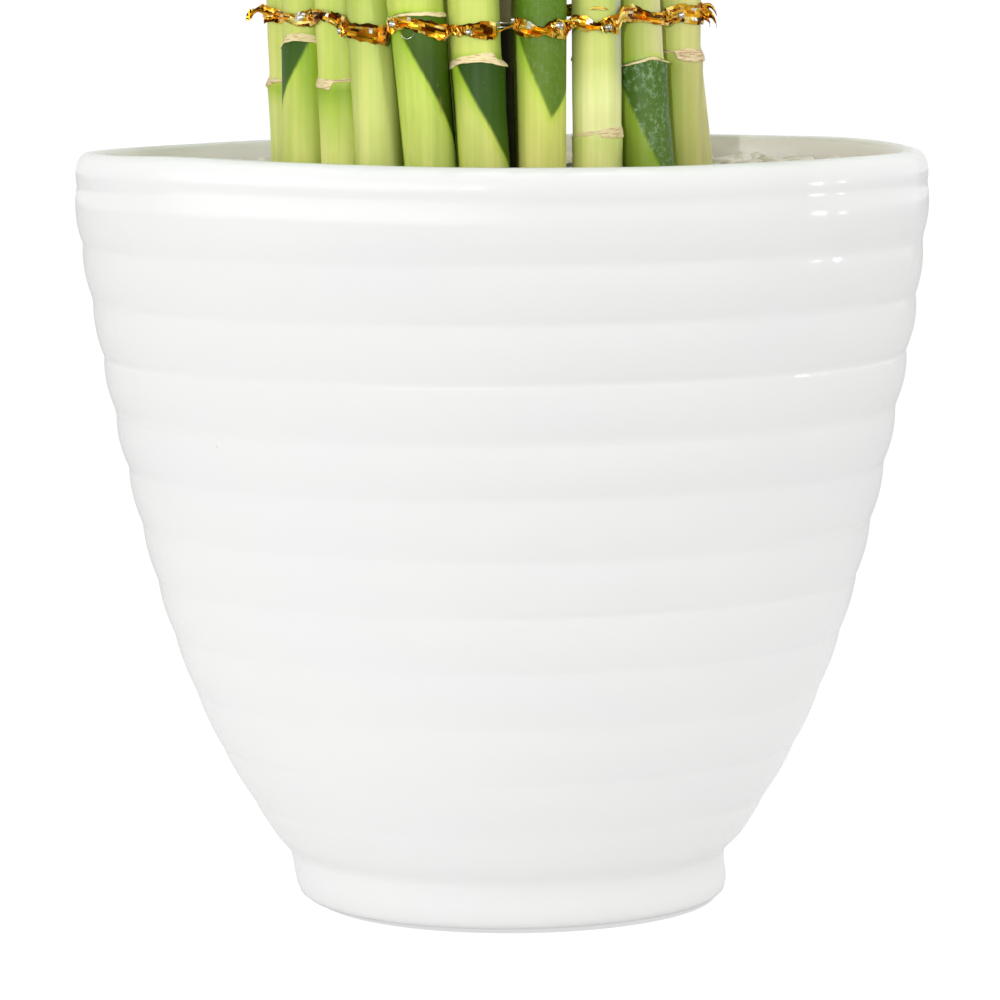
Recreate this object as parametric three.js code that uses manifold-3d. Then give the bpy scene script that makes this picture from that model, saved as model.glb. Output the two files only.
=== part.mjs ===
// Lucky bamboo: a three-tier tower of cut canes with leafy shoots, standing in
// gravel in a ribbed white pot and tied with gold foil garland.
// Millimetres, +Z up, origin on the ground under the middle of the pot.
// The front of the arrangement faces -Y.

import * as THREE from 'three';
import { mergeVertices } from 'three/addons/utils/BufferGeometryUtils.js';
import Module from 'manifold-3d';

const wasm = await Module();
wasm.setup();

// Pot
const potHeight = 156.7;
const rimRadius = 88.9;
const footRadius = 45.6;
const footHeight = 9.4;
const footRingWidth = 6;
const footRecess = 3;
const footBevel = 1.2;
const lipGroove = 149.8;
const lipGrooveDepth = 0.4;
const lipRound = 2.8;
const potWall = 6;
const potFloor = 11;
const floorRadius = 34;
const floorFillet = 5;
const potSides = 34;
// Heights at which the inside of the wall turns.
const wallTurns = [143, 110, 75, 45, 22];
// Height and radius of the bowl's outside, ribs left out.
const bowlShape = [
  [10, 46.1],
  [20, 53.3],
  [35, 61.6],
  [55, 69.5],
  [80, 76.5],
  [110, 83],
  [140, 88.2],
];
const ribPitch = 11.75;
const ribHeight = 0.33;
const lowestRib = 14.9;
const ribCount = 11;

// Gravel
const gravelTop = 148.4;
const gravelRoughness = 0.7;
const gravelSides = 28;
const gravelRings = [53, 30];
const pebbleSize = 3.6;
const pebbleCount = 27;
const pebbleRise = 0.3;
const pebbleSpread = { inner: [21, 30], outer: [52, 76] };
const clearance = 0.3;

// Stalks
const stalkSides = 7;
const stalkRadius = 5.35;
const nodeSwell = 0.45;
const nodeTaper = 6;
const nodeWaist = 0.2;
const stalkFoot = 106;
const leanShift = 6;
const innerLean = 1;
const innerScars = { middle: 196, middleStep: 5, middlePitch: 27, centre: 214, centrePitch: 29 };
const ringCentre = new THREE.Vector2(-2.05, 0);
const ringRadius = 40.9;
const outerTop = 204;
const middleTop = 254;
const centreTop = 305;
const middleCount = 6;
const middleRadius = 10.5;
const innerStalkRadius = 5;
// Clockwise from the front seen from above: bearing round the ring in degrees,
// set-back towards its middle, lean to the left and lean outwards in degrees,
// and the heights of the old leaf scars.
const ringStalks = [
  [-85.8, 0.1, 0.8, 0, [170.5, 197]],
  [-69, 0.1, 0.7, -1.9, [180, 197.5]],
  [-48.8, 1.5, 5.5, -4.8, [171, 196]],
  [-33, 0.2, 4.2, -2.1, [196]],
  [-17.3, 0.1, 3.8, 3.2, [185.5, 196.5]],
  [-2.1, 0, 3.4, 0, [176, 197]],
  [14.4, 0, 0.2, 0, [197]],
  [31.4, 0.1, 0.5, 0.6, [162, 196]],
  [51.3, 0.1, 4.7, 0, [176, 197.5]],
  [69.7, 0.2, 0.6, 0, [177, 197]],
  [90, 0.3, 6, 0, [196]],
  [108, 0, 2, 0, [173, 197]],
  [127, 0, 1, 0, [165, 197]],
  [145.8, 0, 0.5, 0, [176, 196.5]],
  [165.2, 0, 1.5, 0, [160, 196]],
  [181.5, 0, 2, 0, [178, 197]],
  [198, 0, 2.5, 0, [167, 197]],
  [215, 0, 1.5, 0, [174, 196]],
  [233, 0, 1, 0, [163, 196]],
  [252, 0, 1.5, 0, [179, 197.5]],
];

// Gold garland
const tieHeight = 183;
const middleTieHeight = 232;
const tieThickness = 1.5;
const tieWidth = 2.4;
const tieWrap = 38;
const tieWave = 0.35;

// Shoots and leaves
const plantSeed = 229;
const lowestLeaf = 192.5;
const leafThickness = 0.75;
const leafGap = 4.6;
const stemGap = 2.4;
const stalkGap = 2.6;
const leafStations = 6;
const leafTries = 60;
// How far up the stem the first leaf leaves it and the last one further, as shares.
const leafStart = 0.42;
const leafSpan = 0.53;
// Angles in degrees for the lowest leaf, how they change to the top one, and how
// far each may vary.
const leafRule = {
  spread: 12,
  spreadBelow: 38,
  rise: 42,
  riseGain: 34,
  riseRange: [-8, 8],
  fall: -48,
  fallGain: 96,
  fallRange: [-20, 14],
  sweepRange: [-0.1, 0.1],
  rollRange: [-22, 22],
  shorterAbove: 0.18,
  shrink: 0.93,
  shrinkEvery: 6,
};
// The half width swells as a sine to these powers, narrows by taper and has a
// broad root and a blunt tip in millimetres.
const bladeShape = { skew: 0.72, fullness: 0.85, taper: 0.12, root: 1.2, tip: 0.3 };
const tiers = {
  outer: { leaves: 4, reach: 148, length: [76, 108], width: [12, 15.5], stemOut: 15, stemUp: 26 },
  middle: { leaves: 6, reach: 130, length: [80, 114], width: [12.5, 16], stemOut: 13, stemUp: 34 },
  centre: { leaves: 7, reach: 118, length: [84, 118], width: [13, 16.5], stemOut: 12, stemUp: 38 },
};
const stemSides = 4;
const stemRadius = 2.9;
const stemTipRadius = 1.9;
const shootGap = 0.1;
const shootAboveScar = 4;

const degrees = Math.PI / 180;
const goldenAngle = 137.508 * degrees;
const up = new THREE.Vector3(0, 0, 1);

// Numbers from 0 to 1 that come out the same on every run.
let seedState = plantSeed;
function draw() {
  seedState = (seedState * 1664525 + 1013904223) % 4294967296;
  return seedState / 4294967296;
}

function between(low, high) {
  return low + (high - low) * draw();
}

// A smooth curve through rows of [height, radius], by local slopes.
function curveThrough(rows, z) {
  const last = rows.length - 1;
  let i = 0;
  while (i < last - 1 && z > rows[i + 1][0]) i += 1;
  const slope = (k) => {
    const a = rows[Math.max(k - 1, 0)];
    const b = rows[Math.min(k + 1, last)];
    return (b[1] - a[1]) / (b[0] - a[0]);
  };
  const step = rows[i + 1][0] - rows[i][0];
  const t = (z - rows[i][0]) / step;
  const rise = rows[i + 1][1] - rows[i][1];
  const bendA = slope(i) * step - rise;
  const bendB = rise - slope(i + 1) * step;
  return rows[i][1] + t * rise + t * (1 - t) * ((1 - t) * bendA + t * bendB);
}

function toSolid(geometry) {
  const bare = geometry.clone();
  bare.deleteAttribute('normal');
  bare.deleteAttribute('uv');
  const merged = mergeVertices(bare, 1e-4);
  return new wasm.Manifold(new wasm.Mesh({
    numProp: 3,
    vertProperties: new Float32Array(merged.attributes.position.array),
    triVerts: new Uint32Array(merged.index.array),
  }));
}

function toGeometry(solid) {
  const mesh = solid.getMesh();
  const geometry = new THREE.BufferGeometry();
  geometry.setAttribute('position', new THREE.BufferAttribute(mesh.vertProperties, 3));
  geometry.setIndex(new THREE.BufferAttribute(mesh.triVerts, 1));
  geometry.computeVertexNormals();
  return geometry;
}

// A skin over rings of points. Closed round on itself, or with a flat cap at each
// end. The ring edges in turned are split along the other diagonal.
function loft(rings, { loop = false, turned = [] } = {}) {
  const sides = rings[0].length;
  const spans = loop ? rings.length : rings.length - 1;
  const index = [];
  for (let j = 0; j < spans; j += 1) {
    const here = j * sides;
    const next = ((j + 1) % rings.length) * sides;
    for (let k = 0; k < sides; k += 1) {
      const l = (k + 1) % sides;
      const [a, b, c, d] = [here + k, here + l, next + k, next + l];
      if (turned.includes(k)) index.push(a, b, c, b, d, c);
      else index.push(a, b, d, a, d, c);
    }
  }
  if (!loop) {
    const end = (rings.length - 1) * sides;
    for (let k = 1; k < sides - 1; k += 1) {
      index.push(0, k + 1, k, end, end + k, end + k + 1);
    }
  }
  const points = rings.flat();
  if (signedVolume(points, index) < 0) index.reverse();
  const geometry = new THREE.BufferGeometry().setFromPoints(points);
  geometry.setIndex(index);
  geometry.computeVertexNormals();
  return geometry;
}

function signedVolume(points, index) {
  let sum = 0;
  const cross = new THREE.Vector3();
  for (let i = 0; i < index.length; i += 3) {
    cross.crossVectors(points[index[i + 1]], points[index[i + 2]]);
    sum += points[index[i]].dot(cross);
  }
  return sum / 6;
}

function turned(profile, sides) {
  const geometry = new THREE.LatheGeometry(profile.map(([r, z]) => new THREE.Vector2(r, z)), sides);
  return geometry.rotateX(Math.PI / 2);
}

const group = new THREE.Group();

function addPiece(name, geometry, finish) {
  const mesh = new THREE.Mesh(geometry, new THREE.MeshStandardMaterial(finish));
  mesh.name = name;
  group.add(mesh);
}

const finishes = {
  glaze: { color: 0xf2f2ef, roughness: 0.12, metalness: 0 },
  gravel: { color: 0xe6ddcf, roughness: 0.8, metalness: 0 },
  stalk: { color: 0x9cbf4c, roughness: 0.42, metalness: 0 },
  leaf: { color: 0x3f7d2c, roughness: 0.4, metalness: 0 },
  foil: { color: 0xd9a027, roughness: 0.2, metalness: 1 },
};

// Pot: foot ring, bowl with a soft rib every ribPitch, rounded lip, plain inside.
function bowlRadius(z) {
  return curveThrough(bowlShape, z);
}

function potProfile() {
  const footInside = footRadius - footRingWidth;
  const profile = [[0, footRecess], [footInside - footBevel, footRecess], [footInside, 0]];
  profile.push([footRadius - 1.4 * footBevel, 0], [footRadius - footBevel / 2, footBevel]);
  profile.push([footRadius, footHeight]);
  for (let k = 0; k < ribCount; k += 1) {
    const crest = lowestRib + k * ribPitch;
    const groove = crest + ribPitch / 2;
    profile.push([bowlRadius(crest) + ribHeight, crest]);
    profile.push([bowlRadius(groove) - ribHeight, groove]);
  }
  const lip = potHeight - lipRound;
  const crown = rimRadius - lipRound;
  profile.push([rimRadius, lipGroove - ribPitch / 2], [rimRadius - lipGrooveDepth, lipGroove]);
  profile.push([rimRadius - lipGrooveDepth / 2, lip], [crown + lipRound / 2, potHeight - lipRound / 4]);
  profile.push([crown, potHeight], [crown - lipRound / 2, potHeight - lipRound / 4]);
  profile.push([rimRadius - potWall + lipGrooveDepth, lip]);
  for (const z of wallTurns) profile.push([bowlRadius(z) - potWall, z]);
  profile.push([floorRadius + floorFillet, potFloor + floorFillet / 4]);
  profile.push([floorRadius, potFloor], [0, potFloor]);
  return profile;
}

// Stalks: each is straight and upright in the gravel and leans above it.
function stalkAxis(stalk, z) {
  const rise = Math.max(0, z - gravelTop);
  return new THREE.Vector3(stalk.x + stalk.leanX * rise, stalk.y + stalk.leanY * rise, z);
}

function outward(bearing) {
  return new THREE.Vector3(Math.sin(bearing * degrees), -Math.cos(bearing * degrees), 0);
}

function ringStalk([bearing, setBack, lean, leanOut, scars]) {
  const out = outward(bearing);
  return {
    bearing,
    x: ringCentre.x + out.x * (ringRadius - setBack) + Math.tan(lean * degrees) * leanShift,
    y: ringCentre.y + out.y * (ringRadius - setBack),
    leanX: -Math.tan(lean * degrees) + Math.tan(leanOut * degrees) * out.x,
    leanY: Math.tan(leanOut * degrees) * out.y,
    radius: stalkRadius,
    top: outerTop,
    scars,
  };
}

function innerStalk(bearing, distance, top, scars) {
  const out = outward(bearing);
  return {
    bearing,
    x: ringCentre.x + out.x * distance,
    y: ringCentre.y + out.y * distance,
    leanX: -Math.tan(innerLean * degrees),
    leanY: 0,
    radius: innerStalkRadius,
    top,
    scars,
  };
}

function scarsUpTo(first, pitch, top) {
  const scars = [];
  for (let z = first; z < top - 4; z += pitch) scars.push(z);
  return scars;
}

function leanOver(geometry, stalk) {
  const position = geometry.attributes.position;
  for (let i = 0; i < position.count; i += 1) {
    const axis = stalkAxis(stalk, position.getZ(i));
    position.setXY(i, position.getX(i) + axis.x, position.getY(i) + axis.y);
  }
  geometry.computeVertexNormals();
  return geometry;
}

function stalkGeometry(stalk) {
  const r = stalk.radius;
  const profile = [[0, stalkFoot], [r, stalkFoot], [r, gravelTop]];
  for (const scar of stalk.scars) {
    profile.push([r, scar - nodeTaper], [r + nodeSwell, scar], [r - nodeWaist, scar + 1]);
  }
  profile.push([r - nodeWaist, stalk.top], [0, stalk.top]);
  return leanOver(turned(profile, stalkSides), stalk);
}

function wellGeometry(r, sides) {
  const foot = stalkFoot - clearance;
  const mouth = gravelTop + 2 * pebbleSize;
  return turned([[0, foot], [r, foot], [r, mouth], [0, mouth]], sides);
}

function holeGeometry(stalk) {
  const r = stalk.radius + clearance / Math.cos(Math.PI / stalkSides);
  return wellGeometry(r, stalkSides).translate(stalk.x, stalk.y, 0);
}

// Gravel: fills the pot, with a lumpy top and pebbles sunk into it. Each ring stalk
// has its own hole and the inner bundle shares one.
function gravelGeometry(stalks) {
  const gap = clearance / Math.cos(Math.PI / gravelSides) + 0.1;
  const profile = [[0, potFloor + clearance], [floorRadius - 2 * gap, potFloor + clearance]];
  profile.push([floorRadius + floorFillet - 2 * gap, potFloor + floorFillet / 4 + gap]);
  for (const z of [...wallTurns].reverse()) profile.push([bowlRadius(z) - potWall - gap, z]);
  const edge = bowlRadius(wallTurns[0]) - potWall - gap;
  for (const r of [edge, edge - 2 * pebbleSize, ...gravelRings, 0]) profile.push([r, gravelTop]);
  const bed = mergeVertices(stripped(turned(profile, gravelSides)), 1e-4);
  const position = bed.attributes.position;
  for (let i = 0; i < position.count; i += 1) {
    if (position.getZ(i) > gravelTop - clearance) {
      position.setZ(i, gravelTop + between(-gravelRoughness, gravelRoughness));
    }
  }
  let solid = toSolid(bed);
  for (let i = 0; i < pebbleCount; i += 1) {
    const turn = i * goldenAngle;
    const inside = i % 4 === 0;
    const distance = between(...(inside ? pebbleSpread.inner : pebbleSpread.outer));
    const pebble = new THREE.OctahedronGeometry(pebbleSize);
    pebble.rotateX(between(0, Math.PI)).rotateZ(between(0, Math.PI));
    pebble.scale(between(0.9, 1.3), between(0.9, 1.3), between(0.7, 0.9));
    const middle = inside ? ringCentre.x : 0;
    const height = gravelTop + pebbleRise;
    pebble.translate(middle + distance * Math.cos(turn), distance * Math.sin(turn), height);
    solid = solid.add(toSolid(pebble));
  }
  for (const stalk of stalks) solid = solid.subtract(toSolid(holeGeometry(stalk)));
  const bundle = wellGeometry(middleRadius + innerStalkRadius + 0.5, 14);
  return toGeometry(solid.subtract(toSolid(bundle.translate(ringCentre.x, ringCentre.y, 0))));
}

function stripped(geometry) {
  geometry.deleteAttribute('normal');
  geometry.deleteAttribute('uv');
  return geometry;
}

// Garland: a band that runs round the outside of a ring of stalks and dips into
// the groove between each two.
function tieGeometry(stalks, height, centre) {
  const rings = [];
  for (const stalk of stalks) {
    const axis = stalkAxis(stalk, height);
    const facing = Math.atan2(axis.y - centre.y, axis.x - centre.x);
    for (const wrap of [-tieWrap, 0, tieWrap]) {
      const angle = facing + wrap * degrees;
      const out = new THREE.Vector3(Math.cos(angle), Math.sin(angle), 0);
      const near = stalk.radius + nodeSwell + clearance;
      const wave = tieWave * Math.sin(rings.length * 2);
      const corners = [
        [near, -tieWidth / 2],
        [near + tieThickness, -tieWidth / 4],
        [near + tieThickness, tieWidth / 4],
        [near, tieWidth / 2],
      ];
      rings.push(corners.map(([r, z]) => axis.clone().addScaledVector(out, r).addScaledVector(up, z + wave)));
    }
  }
  return loft(rings, { loop: true });
}

// Shoots: a stem leaves the stalk level, turns up, and carries leaves on both sides.
function stemPoint(shoot, t) {
  const out = shoot.stemOut * (1 - (1 - t) ** 2);
  const rise = shoot.stemUp * t * t;
  return shoot.root.clone().addScaledVector(shoot.out, out).addScaledVector(up, rise);
}

function stemGeometry(shoot) {
  const rings = [];
  for (const t of [0, 0.35, 1]) {
    const centre = stemPoint(shoot, t);
    const ahead = new THREE.Vector3().addScaledVector(shoot.out, 2 * shoot.stemOut * (1 - t));
    ahead.addScaledVector(up, 2 * shoot.stemUp * t).normalize();
    const across = new THREE.Vector3().crossVectors(up, shoot.out);
    const over = new THREE.Vector3().crossVectors(ahead, across);
    const radius = stemRadius + (stemTipRadius - stemRadius) * t;
    const ring = [];
    for (let k = 0; k < stemSides; k += 1) {
      const angle = (k * 2 * Math.PI) / stemSides;
      const point = centre.clone().addScaledVector(across, radius * Math.cos(angle));
      ring.push(point.addScaledVector(over, radius * Math.sin(angle)));
    }
    rings.push(ring);
  }
  return loft(rings);
}

// A leaf's midrib is an arc whose slope turns evenly from rise to fall, drifting
// sideways by sweep. Its half width swells and then narrows to the tip.
function leafHalfWidth(leaf, u) {
  const { skew, fullness, taper, root, tip } = bladeShape;
  const swell = Math.sin(Math.PI * u ** skew) ** fullness;
  return leaf.width / 2 * swell * (1 - taper * u) + root * (1 - u) ** 4 + tip;
}

function leafPoint(leaf, u, across) {
  const turn = leaf.fall - leaf.rise;
  const slope = leaf.rise + turn * u;
  const run = leaf.length / turn * (Math.sin(slope) - Math.sin(leaf.rise));
  const lift = leaf.length / turn * (Math.cos(leaf.rise) - Math.cos(slope));
  const sway = leaf.length * leaf.sweep * u * u;
  const roll = leaf.roll * u;
  const h = leafHalfWidth(leaf, Math.min(u, 0.999)) * across;
  const sideways = sway + h * Math.cos(roll);
  const overX = -Math.sin(slope) * Math.sin(roll) * h;
  const overZ = Math.cos(slope) * Math.sin(roll) * h;
  const [cos, sin] = [Math.cos(leaf.azimuth), Math.sin(leaf.azimuth)];
  return new THREE.Vector3(
    leaf.root.x + (run + overX) * cos - sideways * sin,
    leaf.root.y + (run + overX) * sin + sideways * cos,
    leaf.root.z + lift + overZ,
  );
}

function leafGeometry(leaf) {
  const rings = [];
  for (let j = 0; j < leafStations; j += 1) {
    const u = j / (leafStations - 1);
    const left = leafPoint(leaf, u, 1);
    const right = leafPoint(leaf, u, -1);
    const slope = leaf.rise + (leaf.fall - leaf.rise) * u;
    const ahead = new THREE.Vector3(
      Math.cos(slope) * Math.cos(leaf.azimuth),
      Math.cos(slope) * Math.sin(leaf.azimuth),
      Math.sin(slope),
    );
    const across = left.clone().sub(right).normalize();
    const offset = new THREE.Vector3().crossVectors(ahead, across);
    offset.normalize().multiplyScalar(leafThickness / 2);
    rings.push([
      left.clone().add(offset),
      right.clone().add(offset),
      right.clone().sub(offset),
      left.clone().sub(offset),
    ]);
  }
  return loft(rings, { turned: [2] });
}

const sampleRows = [0.16, 0.24, 0.32, 0.4, 0.48, 0.56, 0.64, 0.72, 0.8, 0.88, 0.96, 1];
const sampleAcross = [-1, -0.5, 0, 0.5, 1];

function leafSamples(leaf) {
  return sampleRows.flatMap((u) => sampleAcross.map((a) => leafPoint(leaf, u, a)));
}

function clearOfStalks(points, stalks) {
  return points.every((point) => stalks.every((stalk) => {
    if (point.z > stalk.top + 4) return true;
    const axis = stalkAxis(stalk, point.z);
    return Math.hypot(point.x - axis.x, point.y - axis.y) > stalk.radius + stalkGap;
  }));
}

function clearOf(points, others, gap) {
  return others.every((other) => points.every((point) => point.distanceToSquared(other) > gap * gap));
}

// Tries a leaf at random within its place on the stem until it clears the stalks,
// the other stems and the leaves of the other shoots, and shortens it if it must.
function growLeaf(shoot, place, stalks, shoots) {
  const tier = shoot.tier;
  const side = shoot.leaves.length % 2 ? 1 : -1;
  const foreign = shoots.filter((other) => other !== shoot);
  const rule = leafRule;
  let shrink = 1;
  for (let tries = 0; tries < leafTries; tries += 1) {
    const spread = (1 - place) * rule.spreadBelow + rule.spread;
    const turn = side * between(0.2, 1) * spread;
    const leaf = {
      root: stemPoint(shoot, leafStart + leafSpan * place),
      azimuth: shoot.azimuth + turn * degrees,
      rise: (rule.rise + rule.riseGain * place + between(...rule.riseRange)) * degrees,
      fall: (rule.fall + rule.fallGain * place + between(...rule.fallRange)) * degrees,
      length: between(...tier.length) * shrink * (1 - rule.shorterAbove * place),
      width: between(...tier.width),
      sweep: between(...rule.sweepRange),
      roll: between(...rule.rollRange) * degrees,
    };
    const points = leafSamples(leaf);
    const low = points.every((p) => p.z > lowestLeaf);
    const near = points.every((p) => Math.hypot(p.x, p.y) < tier.reach);
    if (low && near && clearOfStalks(points, stalks)
      && foreign.every((other) => clearOf(points, other.stemSamples, stemRadius + stemGap))
      && foreign.every((other) => clearOf(points, other.leafSamples, leafGap))) {
      shoot.leaves.push(leaf);
      shoot.leafSamples.push(...points);
      return;
    }
    if ((tries + 1) % rule.shrinkEvery === 0) shrink *= rule.shrink;
  }
}

function newShoot(name, stalk, height, bearing, tier) {
  const out = outward(bearing);
  const axis = stalkAxis(stalk, height);
  const shoot = {
    name,
    out,
    azimuth: Math.atan2(out.y, out.x),
    root: axis.addScaledVector(out, stalk.radius + shootGap),
    stemOut: tier.stemOut * between(0.8, 1.15),
    stemUp: tier.stemUp * between(0.85, 1.15),
    tier,
    leaves: [],
    leafSamples: [],
  };
  shoot.stemSamples = [0.1, 0.25, 0.4, 0.55, 0.7, 0.85, 1].map((t) => stemPoint(shoot, t));
  return shoot;
}

function shootGeometry(shoot) {
  let solid = toSolid(stemGeometry(shoot));
  for (const leaf of shoot.leaves) solid = solid.add(toSolid(leafGeometry(leaf)));
  return toGeometry(solid);
}

function label(number) {
  return String(number + 1).padStart(2, '0');
}

const outerStalks = ringStalks.map(ringStalk);
const middleStalks = [];
for (let i = 0; i < middleCount; i += 1) {
  const first = innerScars.middle + innerScars.middleStep * (i % 3);
  const scars = scarsUpTo(first, innerScars.middlePitch, middleTop);
  middleStalks.push(innerStalk((i * 360) / middleCount, middleRadius, middleTop, scars));
}
const centreScars = scarsUpTo(innerScars.centre, innerScars.centrePitch, centreTop);
const centreStalk = innerStalk(0, 0, centreTop, centreScars);
const allStalks = [...outerStalks, ...middleStalks, centreStalk];

const shoots = [];
outerStalks.forEach((stalk, i) => {
  const height = stalk.scars[stalk.scars.length - 1] + shootAboveScar;
  shoots.push(newShoot(`shoot_outer_${label(i)}`, stalk, height, stalk.bearing, tiers.outer));
});
middleStalks.forEach((stalk, i) => {
  shoots.push(newShoot(`shoot_middle_${i + 1}`, stalk, middleTop - 7, stalk.bearing, tiers.middle));
});
shoots.push(newShoot('shoot_centre_1', centreStalk, centreTop - 8, 25, tiers.centre));
shoots.push(newShoot('shoot_centre_2', centreStalk, centreTop - 16, 205, tiers.centre));
for (let row = 0; row < tiers.centre.leaves; row += 1) {
  for (const shoot of shoots) {
    if (row < shoot.tier.leaves) {
      growLeaf(shoot, row / (shoot.tier.leaves - 1), allStalks, shoots);
    }
  }
}

addPiece('pot', turned(potProfile(), potSides), finishes.glaze);
addPiece('gravel', gravelGeometry(outerStalks), finishes.gravel);
outerStalks.forEach((stalk, i) => {
  addPiece(`stalk_outer_${label(i)}`, stalkGeometry(stalk), finishes.stalk);
});
middleStalks.forEach((stalk, i) => {
  addPiece(`stalk_middle_${i + 1}`, stalkGeometry(stalk), finishes.stalk);
});
addPiece('stalk_centre', stalkGeometry(centreStalk), finishes.stalk);
for (const shoot of shoots) addPiece(shoot.name, shootGeometry(shoot), finishes.leaf);
addPiece('tie_outer', tieGeometry(outerStalks, tieHeight, ringCentre), finishes.foil);
addPiece('tie_middle', tieGeometry(middleStalks, middleTieHeight, ringCentre), finishes.foil);

export default group;
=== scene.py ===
import math

import bpy
import numpy as np
from mathutils import Matrix, Vector


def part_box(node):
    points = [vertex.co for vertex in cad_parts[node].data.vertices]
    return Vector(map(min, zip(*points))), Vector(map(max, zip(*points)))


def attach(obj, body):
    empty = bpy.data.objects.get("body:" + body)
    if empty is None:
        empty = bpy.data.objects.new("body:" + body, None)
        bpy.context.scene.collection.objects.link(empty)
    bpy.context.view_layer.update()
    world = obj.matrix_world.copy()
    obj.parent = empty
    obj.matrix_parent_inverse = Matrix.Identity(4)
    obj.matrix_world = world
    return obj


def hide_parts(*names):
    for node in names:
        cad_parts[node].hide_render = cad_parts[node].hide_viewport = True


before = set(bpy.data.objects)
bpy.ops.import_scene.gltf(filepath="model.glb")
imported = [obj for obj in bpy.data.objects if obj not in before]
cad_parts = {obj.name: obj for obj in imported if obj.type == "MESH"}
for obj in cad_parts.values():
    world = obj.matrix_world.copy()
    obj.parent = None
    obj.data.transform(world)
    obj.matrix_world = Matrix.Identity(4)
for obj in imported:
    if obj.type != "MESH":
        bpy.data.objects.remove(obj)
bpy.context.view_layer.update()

mm = 0.001
degree = math.pi / 180
upward = np.array([0.0, 0.0, 1.0])


# Faces of a grid of points, row by row. A round grid joins its last column to its first, and a looped one
# also joins its last row to its first.
def gridFaces(rows, columns, closed=True, looped=False):
    row = np.arange(rows if looped else rows - 1)[:, None]
    column = np.arange(columns if closed else columns - 1)[None, :]
    beside = (column + 1) % columns
    low = row * columns
    high = (row + 1) % rows * columns
    return np.stack([low + column, low + beside, high + beside, high + column], -1).reshape(-1, 4)


# A tube through rings of points in millimetres, with a fan of triangles over each end.
# Marks are numbers for each point of the grid, and each end's middle takes the mean of its ring.
def tubeShell(rings, marks=None):
    rows, columns = rings.shape[:2]
    here = np.arange(columns)
    beside = (here + 1) % columns
    last = (rows - 1) * columns
    foot = np.stack([beside, here, np.full(columns, rows * columns)], -1)
    head = np.stack([here + last, beside + last, np.full(columns, rows * columns + 1)], -1)
    shell = {"quads": gridFaces(rows, columns), "triangles": np.concatenate([foot, head])}
    shell.update({"marks": {}, "facets": {}})
    for name, values in {"points": rings, **(marks or {})}.items():
        grid = values.reshape(rows, columns, -1)
        middles = [grid[0].mean(0)[None], grid[-1].mean(0)[None]]
        ended = np.concatenate([grid.reshape(rows * columns, -1), *middles])
        if name == "points":
            shell["points"] = ended
        else:
            shell["marks"][name] = ended
    return shell


# Several shells as one, each with its faces renumbered.
def joinShells(shells):
    joined = {"points": np.concatenate([s["points"] for s in shells])}
    starts = np.cumsum([0] + [len(s["points"]) for s in shells[:-1]])
    for kind in ("quads", "triangles"):
        joined[kind] = np.concatenate([s[kind] + start for s, start in zip(shells, starts)])
    for kind in ("marks", "facets"):
        names = shells[0][kind]
        joined[kind] = {name: np.concatenate([s[kind][name] for s in shells]) for name in names}
    return joined


# A piece of the object: its mesh in metres, riding on the part's one body. Marks become colours of its
# points, and facets, for a shell of triangles, one colour for each face.
def addPiece(name, shell, material, replaced=(), smooth=True):
    mesh = bpy.data.meshes.new(name)
    faces = shell["quads"].tolist() + shell["triangles"].tolist()
    mesh.from_pydata((shell["points"] * mm).tolist(), [], faces)
    mesh.polygons.foreach_set("use_smooth", np.full(len(faces), smooth))
    for kind, domain in (("marks", "POINT"), ("facets", "CORNER")):
        for mark, values in shell[kind].items():
            if domain == "CORNER":
                values = np.repeat(values, 3, axis=0)
            filled = np.ones((len(values), 4), np.float32)
            filled[:, :values.shape[1]] = values
            mesh.attributes.new(mark, "FLOAT_COLOR", domain).data.foreach_set("color", filled.ravel())
    mesh.materials.append(material)
    mesh.update()
    piece = bpy.data.objects.new(name, mesh)
    bpy.context.scene.collection.objects.link(piece)
    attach(piece, "root")
    if replaced:
        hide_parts(*replaced)


# A value that wanders smoothly round a circle: sines of whole numbers of turns, together from about -1 to 1.
def wander(angle, rng, turns=(1, 2, 3, 5)):
    total = np.zeros_like(np.asarray(angle, float))
    for count in turns:
        total = total + np.sin(count * angle + rng.uniform(0, 2 * math.pi)) / math.sqrt(count)
    return total / sum(1 / math.sqrt(count) for count in turns)


# A smooth curve through rows of (place, value): a cubic between each two, with slopes from their neighbours.
def curveThrough(rows, x):
    knots = np.array(rows, float)
    last = len(knots) - 1
    i = np.clip(np.searchsorted(knots[1:-1, 0], x), 0, last - 1)
    before = np.maximum(np.arange(last + 1) - 1, 0)
    after = np.minimum(np.arange(last + 1) + 1, last)
    slope = (knots[after, 1] - knots[before, 1]) / (knots[after, 0] - knots[before, 0])
    step = knots[i + 1, 0] - knots[i, 0]
    t = (x - knots[i, 0]) / step
    rise = knots[i + 1, 1] - knots[i, 1]
    bend = (1 - t) * (slope[i] * step - rise) + t * (rise - slope[i + 1] * step)
    return knots[i, 1] + t * rise + t * (1 - t) * bend


# The same round a circle: rows of (degrees, value), the last joined to the first.
def aroundCurve(rows, angle):
    (first, second), (late, last) = rows[:2], rows[-2:]
    turns = [(late[0] - 360, late[1]), (last[0] - 360, last[1]), *rows]
    turns += [(first[0] + 360, first[1]), (second[0] + 360, second[1])]
    return curveThrough(turns, wrapped(angle))


# Turns any angle in degrees to lie from -180 to 180.
def wrapped(angle):
    return (angle + 180) % 360 - 180


# 0 below low, 1 above high and an S curve between.
def smoothStep(low, high, value):
    t = np.clip((value - low) / (high - low), 0, 1)
    return t * t * (3 - 2 * t)


# A colour on a screen's scale, from 0 to 255, turned to the share of light that it throws back.
def paint(*colour):
    share = np.array(colour, float) / 255
    return np.where(share < 0.04045, share / 12.92, ((share + 0.055) / 1.055) ** 2.4)


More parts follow.
